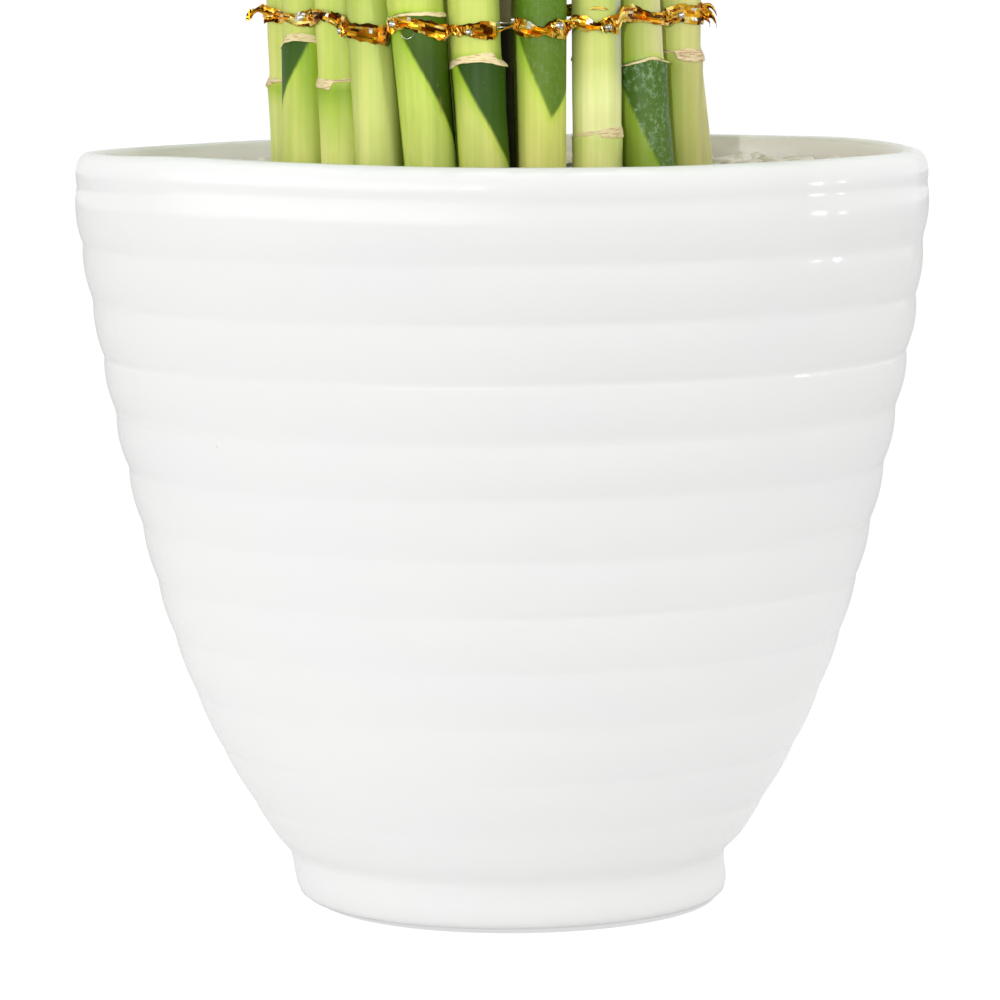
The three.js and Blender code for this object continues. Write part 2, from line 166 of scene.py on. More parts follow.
# A material with its tree of nodes and its shader.
def newMaterial(name):
    material = bpy.data.materials.new(name)
    material.use_nodes = True
    shader = material.node_tree.nodes["Principled BSDF"]
    return material, material.node_tree, shader


# A node with its sockets set or linked by name or number.
def addNode(tree, kind, sockets=None, **settings):
    node = tree.nodes.new(kind)
    for key, value in settings.items():
        setattr(node, key, value)
    for key, value in (sockets or {}).items():
        if isinstance(value, bpy.types.NodeSocket):
            tree.links.new(value, node.inputs[key])
        else:
            node.inputs[key].default_value = value
    return node


def mathValue(tree, operation, a, b=0.0, c=0.0):
    return addNode(tree, "ShaderNodeMath", {0: a, 1: b, 2: c}, operation=operation).outputs[0]


# 0 at low, 1 at high and an S curve between, also where low is the larger.
def ramped(tree, value, low, high):
    sockets = {"Value": value, "From Min": low, "From Max": high}
    return addNode(tree, "ShaderNodeMapRange", sockets, interpolation_type="SMOOTHSTEP").outputs[0]


# Colour a turned towards colour b by a share, or with MULTIPLY towards the product of the two.
def mixColour(tree, share, a, b, blend="MIX"):
    node = addNode(tree, "ShaderNodeMix", {0: share}, data_type="RGBA", blend_type=blend)
    for key, value in ((6, a), (7, b)):
        if isinstance(value, bpy.types.NodeSocket):
            tree.links.new(value, node.inputs[key])
        else:
            node.inputs[key].default_value = (*value, 1)
    return node.outputs[2]


# A mark of the mesh as its three colours and its fourth number.
def readMark(tree, name):
    mark = addNode(tree, "ShaderNodeAttribute", attribute_name=name)
    parts = addNode(tree, "ShaderNodeSeparateColor", {"Color": mark.outputs["Color"]}).outputs
    return mark.outputs["Color"], parts, mark.outputs["Alpha"]


# Noise on the piece's own coordinates, its scale in turns per millimetre along each axis, or on a vector.
def noiseValue(tree, scale, detail=2.0, vector=None, roughness=0.5):
    if vector is None:
        vector = addNode(tree, "ShaderNodeTexCoord").outputs["Object"]
        scale = tuple(s / mm for s in scale)
    mapping = addNode(tree, "ShaderNodeMapping", {"Vector": vector, "Scale": scale})
    sockets = {"Vector": mapping.outputs[0], "Scale": 1.0, "Detail": detail, "Roughness": roughness}
    return addNode(tree, "ShaderNodeTexNoise", sockets).outputs["Fac"]


# Dents the look of a surface by a height, to a depth in millimetres.
def addBump(tree, shader, height, distance, strength):
    sockets = {"Height": height, "Distance": distance * mm, "Strength": strength}
    bump = addNode(tree, "ShaderNodeBump", sockets)
    tree.links.new(bump.outputs[0], shader.inputs["Normal"])


# The pot. Angles are in degrees from the front, positive to the right, and lengths in millimetres. outline:
# height and radius without the ribs. footPush, sidePush and rimRise: how far the foot and the side stand out
# and the rim stands up at angles round the pot.
potShape = {
    "columns": 272,
    "rowStep": 1.2,
    "fineStep": 0.15,  # the ribs are worked out in rows this far apart
    "outline": [(0, 43.8), (1, 44.3), (3, 45), (7, 45.5), (9, 45.9), (9.8, 46.15), (10.5, 46.7), (11.5, 47.5),
                (12.5, 48.4), (15, 50.1), (20, 53.3), (35, 61.6), (55, 69.5), (80, 76.5), (110, 83),
                (140, 88.2), (145, 88.65), (150, 88.7)],
    "footPush": [(-150, -0.2), (-90, -0.25), (-60, -0.6), (-30, -0.2), (0, 0.2), (30, 0.8), (60, 1.6),
                 (90, 1.5), (150, 0.2)],
    "sidePush": [(-180, 0), (20, 0), (45, 0.3), (75, 0.7), (105, 0.7), (150, 0)],
    "rimRise": [(-180, -0.4), (-160, -0.4), (-140, -0.4), (-125, -0.5), (-110, -0.3), (-98, -0.05),
                (-80, 0.5), (-62, 0.95), (-48, 1.45), (-35, 1.2), (-21, 0.7), (-7, 0.2), (7, -0.05),
                (20, -0.2), (40, -0.1), (60, -0.1), (80, -0.45), (95, -0.6), (105, -0.25), (120, 0.1),
                (135, -0.1), (165, -0.2)],
    "groove": 9.0,  # height of the lowest groove between two ribs
    "pitch": 11.75,  # from groove to groove
    "ribs": 12,
    "ribHeight": 0.68,
    "lowRibs": 0.5,  # how strong the lowest ribs are, as a share of the others
    # The ribs' strength round the pot.
    "ribFade": [(-180, 1), (-75, 1), (-50, 0.6), (-20, 0.6), (-5, 0.85), (12, 1.1), (28, 1), (40, 0.75),
                (50, 0.95), (62, 0.75), (80, 1), (170, 1)],
    "crest": 0.5,  # place of a rib's crest between its grooves
    "topCrest": 0.6,
    "topGroove": 0.72,  # how deep the top rib's upper groove is, as a share of the others
    "grooveSoftness": 0.42,  # width of the curve that softens the grooves
    "wall": 6.0,
    "footRing": 5.0,
    "footRecess": 3.0,
    "floorRadius": 34.0,
    "floorTop": 11.0,
    "seed": 5,
}


# Each rib is a pair of half parabolas that meet at its crest: its height times 1 minus the square of the
# place between crest and groove, less the mean. Height and place wander a little round the pot, and the
# height more so lower down.
def ribRelief(z, angle, rng):
    relief = np.zeros(np.broadcast(z, angle).shape)
    for i in range(potShape["ribs"]):
        high = i / (potShape["ribs"] - 1)
        strength = potShape["lowRibs"] + (1 - potShape["lowRibs"]) * smoothStep(0.3, 0.65, high)
        shift = 0.2 * wander(angle, rng, (1, 2, 3)) + rng.uniform(-0.15, 0.15)
        gain = strength * (1 + (0.45 - 0.3 * high) * wander(angle, rng, (1, 2, 3, 4))) * rng.uniform(0.9, 1.1)
        place = (z - potShape["groove"] - shift) / potShape["pitch"] - i
        top = i == potShape["ribs"] - 1
        crest = potShape["topCrest" if top else "crest"]
        depth = potShape["topGroove"] if top else 1
        below, above = (crest - place) / crest, (place - crest) / (1 - crest)
        arc = 1 - np.where(place < crest, below ** 2, depth * above ** 2)
        relief = relief + np.where((place >= 0) & (place < 1), gain * (arc - 2 / 3), 0)
    return potShape["ribHeight"] * relief * aroundCurve(potShape["ribFade"], angle / degree)


# The heights of the outside's rows, and the ribs there: worked out finely and softened along their height.
def ribRows(turn, rng):
    step = potShape["fineStep"]
    fine = np.arange(potShape["groove"], 150.61, step)
    relief = ribRelief(fine[:, None], turn, rng)
    relief[fine > 150] = relief[fine <= 150][-1]
    reach = 8
    kernel = np.exp(-0.5 * (np.arange(-reach, reach + 1) * step / potShape["grooveSoftness"]) ** 2)
    kernel /= kernel.sum()
    padded = np.pad(relief, ((reach, reach), (0, 0)), mode="edge")
    softened = sum(weight * padded[i:i + len(fine)] for i, weight in enumerate(kernel))
    grooves = potShape["groove"] + potShape["pitch"] * np.arange(1, potShape["ribs"])
    beside = np.array([-1.1, -0.65, -0.3, 0, 0.3, 0.65, 1.1])
    rows = np.concatenate([np.arange(9.6, 150.2, potShape["rowStep"]), (grooves[:, None] + beside).ravel()])
    rows = np.unique(np.round(rows, 1))
    picked = np.clip(np.round((rows - fine[0]) / step).astype(int), 0, len(fine) - 1)
    return rows, softened[picked]


# The lines below and above the ribs as rows of (radius, height): foot ring and foot, and lip, wall and floor.
def potLines():
    outline, recess, floor = potShape["outline"], potShape["footRecess"], potShape["floorRadius"]
    foot = outline[0][1]
    inner = foot - potShape["footRing"]
    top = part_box("pot")[1].z / mm
    below = [(inner - 8, recess), (inner - 2.2, recess), (inner - 1.2, recess - 0.4), (inner - 0.7, 0.9),
             (inner - 0.2, 0.25), (inner + 0.4, 0), (foot - 1.1, 0), (foot - 0.5, 0.1), (foot - 0.12, 0.4)]
    below += [(float(curveThrough(outline, np.array(z))), z) for z in (0.9, 1.6, 2.6, 4, 5.5, 7, 8.2, 9)]
    above = [(88.62, 150.7), (88.68, 151.5), (88.7, 152.5), (88.62, 153.6), (88.35, 154.7), (87.9, 155.6),
             (87.25, 156.3), (86.6, top - 0.08), (85.9, top), (85.2, top - 0.15), (84.5, 156.0),
             (83.95, 155.3), (83.6, 154.4), (83.4, 153.2), (83.2, 150.5)]
    above += [(float(curveThrough(outline, np.array(z))) - potShape["wall"], z)
              for z in (143, 128, 110, 92, 75, 60, 45, 33, 22)]
    above += [(floor + 5, 12.5), (floor, potShape["floorTop"]), (10, potShape["floorTop"])]
    return np.array(below), np.array(above), inner


# The pot is one profile turned round its axis: foot ring, outline with ribs, lip, inner wall and floor. The
# foot, the side and the rim then stand out a little by their curves round the pot.
def potShell():
    rng = np.random.default_rng(potShape["seed"])
    angle = np.linspace(-180, 180, potShape["columns"], endpoint=False)[None, :]
    turn = angle * degree
    rows, ribs = ribRows(turn, rng)
    outside = curveThrough(potShape["outline"], rows)[:, None] + ribs * smoothStep(9.5, 14, rows)[:, None]
    below, above, inner = potLines()
    radius = np.concatenate([below[:, :1] + 0 * angle, outside, above[:, :1] + 0 * angle])
    height = np.concatenate([below[:, 1], rows, above[:, 1]])[:, None] + 0 * angle
    foot = smoothStep(9.5, 0, height) * (radius > inner)
    side = smoothStep(8, 14, height) * smoothStep(142, 120, height)
    radius = radius + aroundCurve(potShape["footPush"], angle) * foot
    radius = radius + aroundCurve(potShape["sidePush"], angle) * side
    height = height + aroundCurve(potShape["rimRise"], angle) * smoothStep(138, 156, height)
    return tubeShell(np.stack([radius * np.sin(turn), -radius * np.cos(turn), height], -1))


# Thick glossy white glaze with a faint ripple and a few specks.
def potGlaze():
    material, tree, shader = newMaterial("white_glaze")
    place = addNode(tree, "ShaderNodeTexCoord").outputs["Object"]
    cloud = noiseValue(tree, (0.02, 0.02, 0.05), 2.0)
    colour = mixColour(tree, ramped(tree, cloud, 0.35, 0.65), (0.865, 0.868, 0.862), (0.88, 0.88, 0.868))
    cells = addNode(tree, "ShaderNodeTexVoronoi", {"Vector": place, "Scale": 0.055 / mm, "Randomness": 1.0})
    speck = ramped(tree, cells.outputs["Distance"], 0.022, 0.012)
    chosen = ramped(tree, noiseValue(tree, (0.031, 0.031, 0.031), 0.0), 0.6, 0.64)
    speck = mathValue(tree, "MULTIPLY", speck, chosen)
    colour = mixColour(tree, speck, colour, (0.42, 0.4, 0.37))
    # The wall above the gravel is painted light: lighter than the rest of the glaze, warm against the green
    # light bounced from the canes, and more beige and darker towards the right.
    x, y, z = addNode(tree, "ShaderNodeSeparateXYZ", {"Vector": place}).outputs
    flat = addNode(tree, "ShaderNodeCombineXYZ", {"X": x, "Y": y}).outputs[0]
    fromAxis = addNode(tree, "ShaderNodeVectorMath", {"Vector": flat}, operation="LENGTH").outputs["Value"]
    inward, high = ramped(tree, fromAxis, 86.4 * mm, 84.6 * mm), ramped(tree, z, 140 * mm, 142 * mm)
    inner = mathValue(tree, "MULTIPLY", inward, high)
    paintedWallLight = mixColour(tree, ramped(tree, x, -45 * mm, 30 * mm), (0.98, 0.94, 0.93), (0.97, 0.9, 0.87))
    colour = mixColour(tree, inner, colour, paintedWallLight)
    tree.links.new(colour, shader.inputs["Base Color"])
    shader.inputs["Roughness"].default_value = 0.09
    shader.inputs["IOR"].default_value = 1.5
    ripple = noiseValue(tree, (0.12, 0.12, 0.3), 1.0)
    addBump(tree, shader, ripple, 0.12, 0.3)
    return material


addPiece("pot_glazed", potShell(), potGlaze(), ["pot"])
print("pot: ribbed bowl, lip and foot")


# The gravel. pebbleHeight: lowest and highest middle of a pebble. placed: pebbles set one by one, each by its
# place across and back, its height and its size.
gravelBed = {
    "top": 148.9,
    "rings": 34,
    "columns": 120,
    "roughness": 0.5,  # how far the bed's top rises and falls
    "pebbleSpacing": 4.3,  # between the middles of two pebbles in a row
    "pebbleSize": (1.9, 2.9),
    "pebbleHeight": (149.4, 151.1),
    "placed": [(52.9, 50, 151.2, 2.8), (58.3, 49, 151.5, 1.7), (63, 45, 150.7, 2.7), (67.5, 43, 150.8, 2.0),
               (72, 37, 150.9, 2.4), (-57, 52, 151.0, 2.3), (-52, 54, 151.2, 2.2), (-60, 47, 150.6, 2.6)],
    "caneRadius": 5.4,
    "caneGap": 0.6,
    "edge": 82.2,  # radius of the bed's top
    "seed": 11,
}


caneRadius = {"outer": 5.35, "middle": 5.0, "centre": 5.0}


# Where each cane stands: its node's foot, top, lean and scars, read from the frame.
def readCane(name):
    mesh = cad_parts[name].data
    points = np.empty(len(mesh.vertices) * 3)
    mesh.vertices.foreach_get("co", points)
    points = points.reshape(-1, 3) / mm
    levels = np.unique(np.round(points[:, 2], 1))
    low = points[points[:, 2] < levels[0] + 0.2]
    high = points[points[:, 2] > levels[-1] - 0.2]
    foot = (low.min(0) + low.max(0))[:2] / 2
    top = (high.min(0) + high.max(0))[:2] / 2
    middle = np.unique(np.round(low[:, :2], 2), axis=0)
    foot = middle[np.argmin(np.hypot(*(middle - foot).T))]
    middle = np.unique(np.round(high[:, :2], 2), axis=0)
    top = middle[np.argmin(np.hypot(*(middle - top).T))]
    gravel = levels[1]
    return {"name": name, "radius": caneRadius[name.split("_")[1]], "foot": foot, "footZ": levels[0],
            "gravel": gravel, "top": levels[-1], "lean": (top - foot) / (levels[-1] - gravel),
            "scars": [float(z) for z in levels[3:-1:3]]}


# The middle of a cane at a height: its foot, and above the gravel its foot and its lean times the rise.
def caneAxis(cane, z):
    rise = np.maximum(0, np.asarray(z, float) - cane["gravel"])
    return cane["foot"] + rise[..., None] * cane["lean"]


outerNames = [f"stalk_outer_{i + 1:02d}" for i in range(20)]
middleNames = [f"stalk_middle_{i + 1}" for i in range(6)]
canes = {name: readCane(name) for name in outerNames + middleNames + ["stalk_centre"]}


# One pebble: a cube of 24 faces, each corner drawn most of the way to a ball of radius 1.
def pebbleForm():
    points, quads = [], []
    side = np.array([-1.0, 0.0, 1.0])
    across, up = np.meshgrid(side, side, indexing="ij")
    for axis in range(3):
        for end in (-1, 1):
            face = np.stack([np.full(9, end), across.ravel(), up.ravel()], -1)
            grid = gridFaces(3, 3, closed=False) + 9 * len(points)
            quads.append(grid if end < 0 else grid[:, ::-1])
            points.append(np.roll(face, axis, axis=1))
    merged, index = np.unique(np.concatenate(points), axis=0, return_inverse=True)
    length = np.linalg.norm(merged, axis=1, keepdims=True)
    return merged * (0.22 + 0.78 / length), index.ravel()[np.concatenate(quads)]


# The bed is a closed turned form with a rough top.
def bedShell(rng):
    angle = np.linspace(0, 2 * math.pi, gravelBed["columns"], endpoint=False)[None, :]
    edge, rings = gravelBed["edge"], gravelBed["rings"]
    radius = np.concatenate([[36, 55, 66, 73, 79, edge], edge * np.sqrt(np.linspace(0.985, 0.002, rings))])
    height = np.concatenate([[12, 33, 60, 90, 120, 146], np.full(rings, gravelBed["top"])])
    radius = radius[:, None] + 0 * angle
    bumps = gravelBed["roughness"] * rng.uniform(-1, 1, radius.shape)
    height = height[:, None] + np.where(height[:, None] > 147, bumps, 0)
    points = np.stack([radius * np.cos(angle), radius * np.sin(angle), height], -1)
    return tubeShell(points, {"stone": rng.uniform(0, 1, (*radius.shape, 3))})


# Where the pebbles lie and how large they are: a shaken grid of places inside the edge and clear of the
# canes, and the placed ones at the end.
def pebblePlaces(rng):
    edge, spacing = gravelBed["edge"], gravelBed["pebbleSpacing"]
    count = int(2 * edge / spacing) + 2
    column, row = np.meshgrid(np.arange(count), np.arange(int(count * 1.16)))
    x = (column + 0.5 * (row % 2)) * spacing - edge - spacing
    y = row * spacing * 0.866 - edge - spacing
    places = np.stack([x.ravel(), y.ravel()], -1) + rng.uniform(-0.8, 0.8, (x.size, 2))
    size = rng.uniform(*gravelBed["pebbleSize"], len(places))
    keep = np.hypot(*places.T) < edge - size * 0.85
    for cane in canes.values():
        away = np.hypot(*(places - cane["foot"]).T)
        keep &= away > gravelBed["caneRadius"] + size * 0.8 + gravelBed["caneGap"]
    placed = np.array(gravelBed["placed"])
    return np.concatenate([places[keep], placed[:, :2]]), np.concatenate([size[keep], placed[:, 3]])


# All the pebbles: each is the same form times its own three sizes and lumps, tipped and turned by its own
# angles.
def pebbleShell(rng):
    form, faces = pebbleForm()
    places, size = pebblePlaces(rng)
    placed = np.array(gravelBed["placed"])
    total = len(places)
    sizes = size[:, None] * rng.uniform((0.9, 0.8, 0.62), (1.25, 1.05, 0.85), (total, 3))
    lumps = 1 + 0.09 * rng.standard_normal((total, len(form), 1))
    x, y, z = np.moveaxis(form[None] * lumps * sizes[:, None, :], -1, 0)
    turn, tip = rng.uniform(0, 2 * math.pi, (total, 1)), rng.uniform(-0.5, 0.5, (total, 1))
    y, z = y * np.cos(tip) - z * np.sin(tip), y * np.sin(tip) + z * np.cos(tip)
    x, y = x * np.cos(turn) - y * np.sin(turn), x * np.sin(turn) + y * np.cos(turn)
    lift = rng.uniform(*gravelBed["pebbleHeight"], (total, 1))
    lift[-len(placed):] = placed[:, 2:3]
    points = np.stack([x + places[:, :1], y + places[:, 1:], z + lift], -1).reshape(-1, 3)
    quads = (faces[None] + len(form) * np.arange(total)[:, None, None]).reshape(-1, 4)
    tints = rng.uniform(0, 1, (total, 3))
    tints[-len(placed):] = (0, 0, 1)
    return {"points": points, "quads": quads, "triangles": np.zeros((0, 3), int),
            "marks": {"stone": np.repeat(tints, len(form), axis=0)}, "facets": {}}


# Washed pebbles, each white, cream, pink-grey or tan by its own number, with fine grain and darker pits.
def gravelStone():
    material, tree, shader = newMaterial("washed_pebbles")
    _, (kind, warmth, shade), _ = readMark(tree, "stone")
    colour = mixColour(tree, ramped(tree, warmth, 0.2, 0.9), (0.98, 0.91, 0.85), (0.95, 0.86, 0.77))
    colour = mixColour(tree, ramped(tree, kind, 0.86, 0.92), colour, (0.78, 0.68, 0.56))
    colour = mixColour(tree, ramped(tree, kind, 0.96, 0.98), colour, (0.55, 0.51, 0.46))
    grain = noiseValue(tree, (0.9, 0.9, 0.9), 4.0)
    dimmed = mathValue(tree, "MULTIPLY_ADD", shade, 0.1, 0.93)
    colour = mixColour(tree, 1.0, colour, mixColour(tree, dimmed, (0, 0, 0), (1, 1, 1)), "MULTIPLY")
    colour = mixColour(tree, ramped(tree, grain, 0.62, 0.4), colour, (0.95, 0.92, 0.87), "MULTIPLY")
    tree.links.new(colour, shader.inputs["Base Color"])
    shader.inputs["Roughness"].default_value = 0.55
    addBump(tree, shader, grain, 0.25, 0.6)
    return material


gravelRng = np.random.default_rng(gravelBed["seed"])
bed, pebbles = bedShell(gravelRng), pebbleShell(gravelRng)
addPiece("gravel_pebbles", joinShells([bed, pebbles]), gravelStone(), ["gravel"])
print("gravel: a bed with", len(pebbles["quads"]) // 24, "pebbles")


# The canes in front, each as it looks. Angles are in degrees from the side that faces the front, positive to
# the right. radius: at the top and at the gravel. skin: colours at heights. sides: colours that the skin is
# turned towards by a share at each angle, and, with rise, only from the first height on and in full at the
# second. A darker side is painted shade and a paler side painted light and highlight, but cane 8's grey
# side is its bloom. A scar's key is its height in the frame, and it runs between an upper and a lower line,
# each of (angle, height). dark is the older skin under it, between a left and a right edge of (height,
# angle), with its colours at heights. flare is where the scar's lower edge stands off further: angle, how
# far, and how
# wide. crust: 0 smooth and cream, 1 brown. frost: how strong the pale scuffs are on the dark skin.
caneLooks = {
    "columns": 80,
    "rowStep": 1.0,
    "backColumns": 40,
    "backRowStep": 1.6,
    "plainRadius": 5.3,  # of an outer cane that has no radius of its own
    "innerRadius": 5.0,
    "skirt": 0.38,  # how far a scar's lower edge stands off
    # Rings of the cut top, slightly hollow: share of the radius, and how far below the top.
    "cutTop": [(0.97, 0.42), (0.9, 0.12), (0.72, 0.0), (0.5, 0.12), (0.28, 0.25), (0.1, 0.3)],
    "tone": (1.05, 0.945, 0.9),  # pale skin colours are multiplied by it
    "darkTone": (0.82, 0.73, 0.45),  # and dark ones by this
    "seed": 31,
    "stalk_outer_01": {
        "radius": (5.3, 5.25),
        "skin": [(150, (214, 224, 150)), (166.5, (205, 220, 135)), (170, (165, 195, 60)),
                 (172.5, (208, 220, 132)), (190, (196, 214, 115))],
        "scars": {170.5: {
            "upper": [(-150, 172.2), (-61, 172.1), (-29, 171.8), (60, 171.9), (150, 172.2)],
            "lower": [(-150, 170.3), (-80, 170.2), (-54, 170.8), (-39, 171.2), (-29, 171.3), (60, 170.7),
                      (150, 170.4)],
            "flare": (-95, 0.35, 40), "crust": 0.5}},
    },
    "stalk_outer_02": {
        "radius": (5.45, 5.35), "darkTone": (0.5, 0.57, 0.3),
        "skin": [(157, (224, 236, 148)), (165, (190, 214, 106)), (172, (155, 190, 55)), (179, (148, 184, 45)),
                 (182, (196, 214, 112)), (190, (192, 212, 105))],
        # Painted light on the left side, painted shade on the right.
        "sides": [{"colour": (200, 216, 124), "share": [(-60, 1), (0, 0), (60, 0)]},
                  {"colour": (140, 170, 50), "share": [(-60, 0), (0, 0), (60, 0.65)]}],
        "scars": {180: {
            "upper": [(-120, 179.6), (-75, 179.7), (-57, 181.2), (-38, 181.5), (-8, 181.6), (17, 181),
                      (90, 180.6), (170, 180.2)],
            "lower": [(-120, 178), (-79, 178.5), (-66, 179.2), (-47, 179.7), (-26, 179.9), (-1, 179.7),
                      (17, 179.5), (90, 178.8), (170, 178.2)],
            "dark": {"left": [(150, -300), (190, -300)],
                     "right": [(161, -118), (168.8, -66), (175, -22), (179.7, 4)],
                     "skin": [(165, (100, 142, 40)), (173, (86, 122, 28)), (180, (72, 108, 18))]}}},
    },
    "stalk_outer_03": {
        "radius": (5.35, 5.35),
        "skin": [(157, (226, 238, 150)), (166, (180, 208, 92)), (170, (142, 178, 52)),
                 (172.5, (196, 216, 112)), (190, (202, 220, 120))],
        # Painted shade on the right side.
        "sides": [{"colour": (125, 160, 5), "share": [(-40, 0), (50, 0.27)]}],
        "scars": {171: {
            "upper": [(-120, 172.7), (-71, 172.6), (-28, 172.3), (-10, 172.3), (7, 172.5), (20, 172.6),
                      (100, 172.4), (170, 172.6)],
            "lower": [(-130, 170.9), (-84, 170.6), (-54, 170.5), (-35, 170.2), (-29, 170.7), (-25, 171.5),
                      (-10, 171.7), (6, 171.8), (19, 171.9), (100, 171.4), (170, 171.2)],
            "flare": (-60, 0.15, 40), "crust": 0.4}},
    },
    "stalk_outer_04": {
        "radius": (5.4, 5.3),
        "skin": [(155, (215, 228, 145)), (165, (212, 226, 142)), (180, (180, 199, 109)),
                 (190, (183, 203, 105))],
        # Painted shade on the right side, next to cane 5.
        "sides": [{"colour": (125, 154, 10), "share": [(-30, 0), (20, 0.18), (50, 0.77), (85, 0.97)]}],
    },
    "stalk_outer_05": {
        "radius": (5.78, 5.4), "blemish": (36, 167.3), "darkTone": (0.53, 0.55, 0.3),
        "skin": [(155, (205, 222, 130)), (168, (194, 216, 112)), (184, (150, 184, 62)),
                 (186.5, (196, 214, 110)), (190, (196, 214, 110))],
        # Painted shade on the right side.
        "sides": [{"colour": (115, 155, 20), "share": [(-50, 0), (0, 0), (60, 0.35)]}],
        "scars": {185.5: {
            "upper": [(-140, 185.2), (-69, 184.9), (-48, 185.2), (-17, 185.8), (22, 186), (64, 185.9),
                      (140, 185.6)],
            "lower": [(-140, 184.5), (-67, 184.4), (-48, 184.8), (-17, 185.3), (-5, 185.2), (21, 185.2),
                      (63, 184.9), (140, 184.8)],
            "crust": 0.5,
            "dark": {"left": [(150, 121), (157.4, 84), (185, -54)], "right": [(150, 290), (190, 290)],
                     "skin": [(155, (88, 118, 22)), (166, (72, 96, 14)), (177, (78, 108, 16)),
                              (184, (96, 134, 24))]}}},
    },
    "stalk_outer_06": {
        "radius": (5.19, 5.24),
        "skin": [(155, (210, 222, 134)), (165, (202, 218, 125)), (172, (165, 196, 75)), (176, (150, 185, 60)),
                 (178, (196, 213, 113)), (190, (197, 214, 118))],
        # Painted shade on the right side.
        "sides": [{"colour": (110, 150, 50), "share": [(-40, 0), (30, 0), (75, 0.4)]}],
        "scars": {176: {
            "upper": [(-120, 176.2), (-70, 176.3), (-42, 176.9), (-11, 177.4), (16, 177.8), (41, 177.8),
                      (46, 177.3), (54, 176.6), (120, 176), (170, 175.9)],
            "lower": [(-100, 174.4), (-70, 174.6), (-49, 175.4), (-23, 175.7), (-6, 175.9), (14, 175.9),
                      (34, 175.5), (52, 175.2), (90, 174.8), (170, 174.4)],
            "flare": (75, 0.75, 35),
            "dark": {"left": [(150, 100), (155.8, 67), (158.8, 42), (166.2, 0), (175.8, -52)],
                     "right": [(150, 290), (190, 290)],
                     "skin": [(155, (84, 122, 30)), (165, (58, 98, 16)), (175, (46, 82, 8))]}}},
    },
    "stalk_outer_07": {
        "radius": (5.28, 4.7),
        "skin": [(155, (219, 224, 139)), (164, (206, 219, 120)), (178, (165, 200, 80)),
                 (188, (150, 190, 70))],
        "scars": {197: {
            "upper": [(-150, 197.6), (-60, 198), (0, 198.4), (90, 198), (150, 197.6)],
            "lower": [(-150, 196), (-60, 196.3), (0, 196.6), (90, 196.3), (150, 196)],
            "frost": 0.25,
            "dark": {"left": [(164.6, 22), (180.2, -58), (197, -146)],
                     "right": [(164.6, 22), (171, 90), (197, 213)],
                     "skin": [(165, (104, 142, 34)), (175, (98, 134, 30)), (184, (90, 130, 26)),
                              (190, (92, 136, 24))]}}},
    },
    "stalk_outer_08": {
        "radius": (4.87, 4.98),
        "skin": [(155, (224, 234, 160)), (160, (208, 226, 142)), (161.8, (230, 238, 181)),
                 (168, (226, 237, 176)), (176, (195, 208, 127)), (190, (185, 203, 111))],
        # A grey bloom high on the right side, and painted shade low on the right.
        "sides": [{"colour": (160, 172, 180), "share": [(-40, 0), (30, 0), (55, 0.45), (78, 0.82)],
                   "rise": (164, 181)},
                  {"colour": (130, 160, 60), "share": [(-40, 0), (30, 0), (55, 0.4), (78, 0.7)],
                   "rise": (161.8, 155)}],
        "scars": {
            162: {"upper": [(-130, 160.9), (-68, 160.8), (-53, 161.1), (-25, 161.7), (-3, 161.9), (22, 162.3),
                            (39, 162.5), (69, 162.7), (150, 162.2)],
                  "lower": [(-130, 160.3), (-69, 160.4), (-53, 160.7), (-26, 160.9), (-7, 161.2), (4, 161.3),
                            (7, 160.6), (30, 160.5), (71, 160.3), (150, 160.9)],
                  "crust": 0.1},
            196: {"upper": [(-150, 197), (0, 197.4), (150, 197)],
                  "lower": [(-150, 195.6), (0, 195.9), (150, 195.6)],
                  "frost": 0.8}},
    },
    "stalk_outer_09": {
        "radius": (5.2, 5.3), "darkTone": (0.95, 0.84, 0.75),
        "skin": [(150, (157, 185, 77)), (174.5, (145, 176, 66)), (176, (157, 177, 74)),
                 (190, (156, 174, 72))],
        # Painted highlight on the upper right side.
        "sides": [{"colour": (250, 245, 218), "share": [(-50, 0), (10, 0.12), (60, 0.42), (80, 0.75)],
                   "rise": (174.5, 176)}],
        "scars": {176: {
            "upper": [(-120, 174.6), (-41, 174.7), (-17, 175.2), (2, 175.7), (19, 176.2), (39, 176.3),
                      (51, 175.9), (68, 175.6), (95, 175.5), (150, 175.2)],
            "lower": [(-120, 174.1), (-40, 174.4), (-18, 174.8), (1, 175.2), (21, 175.6), (43, 175.6),
                      (67, 175.1), (95, 174.9), (150, 174.5)],
            "flare": (88, 0.75, 45), "frost": 1.0,
            "dark": {"left": [(150, 43), (175.2, -70)], "right": [(150, 290), (190, 290)],
                     "skin": [(155, (92, 132, 52)), (165, (80, 118, 42)), (175, (62, 102, 22))]}}},
    },
    "stalk_outer_10": {
        "radius": (5.3, 5.3),
        "skin": [(150, (175, 188, 95)), (165, (150, 172, 62)), (174, (130, 152, 42)), (178, (165, 182, 92)),
                 (190, (172, 188, 100))],
        # Painted highlight on the right side.
        "sides": [{"colour": (250, 240, 195), "share": [(-20, 0), (45, 0.37)]}],
        "scars": {177: {
            "upper": [(-110, 177.2), (-21, 177.4), (-9, 177.3), (12, 177.6), (34, 177.8), (65, 177.6),
                      (150, 177.3)],
            "lower": [(-110, 176.4), (-20, 176.9), (-5, 176.9), (-1, 175.8), (12, 175.3), (28, 175),
                      (60, 174.9), (120, 175.4)],
            "flare": (75, 0.35, 50), "crust": 0.9}},
    },
    "stalk_outer_11": {
        "radius": (5.35, 5.35),
        "skin": [(150, (215, 220, 160)), (190, (205, 212, 140))],
    },
    "stalk_middle_1": {
        "radius": (5.0, 5.0),
        # Painted shade: this cane, seen through the gap between canes 6 and 7, is painted near black below
        # the tie, and grey-brown above it.
        "skin": [(150, (24, 22, 3)), (182.6, (22, 18, 2)), (183.6, (164, 156, 134)), (240, (162, 154, 130))],
    },
}


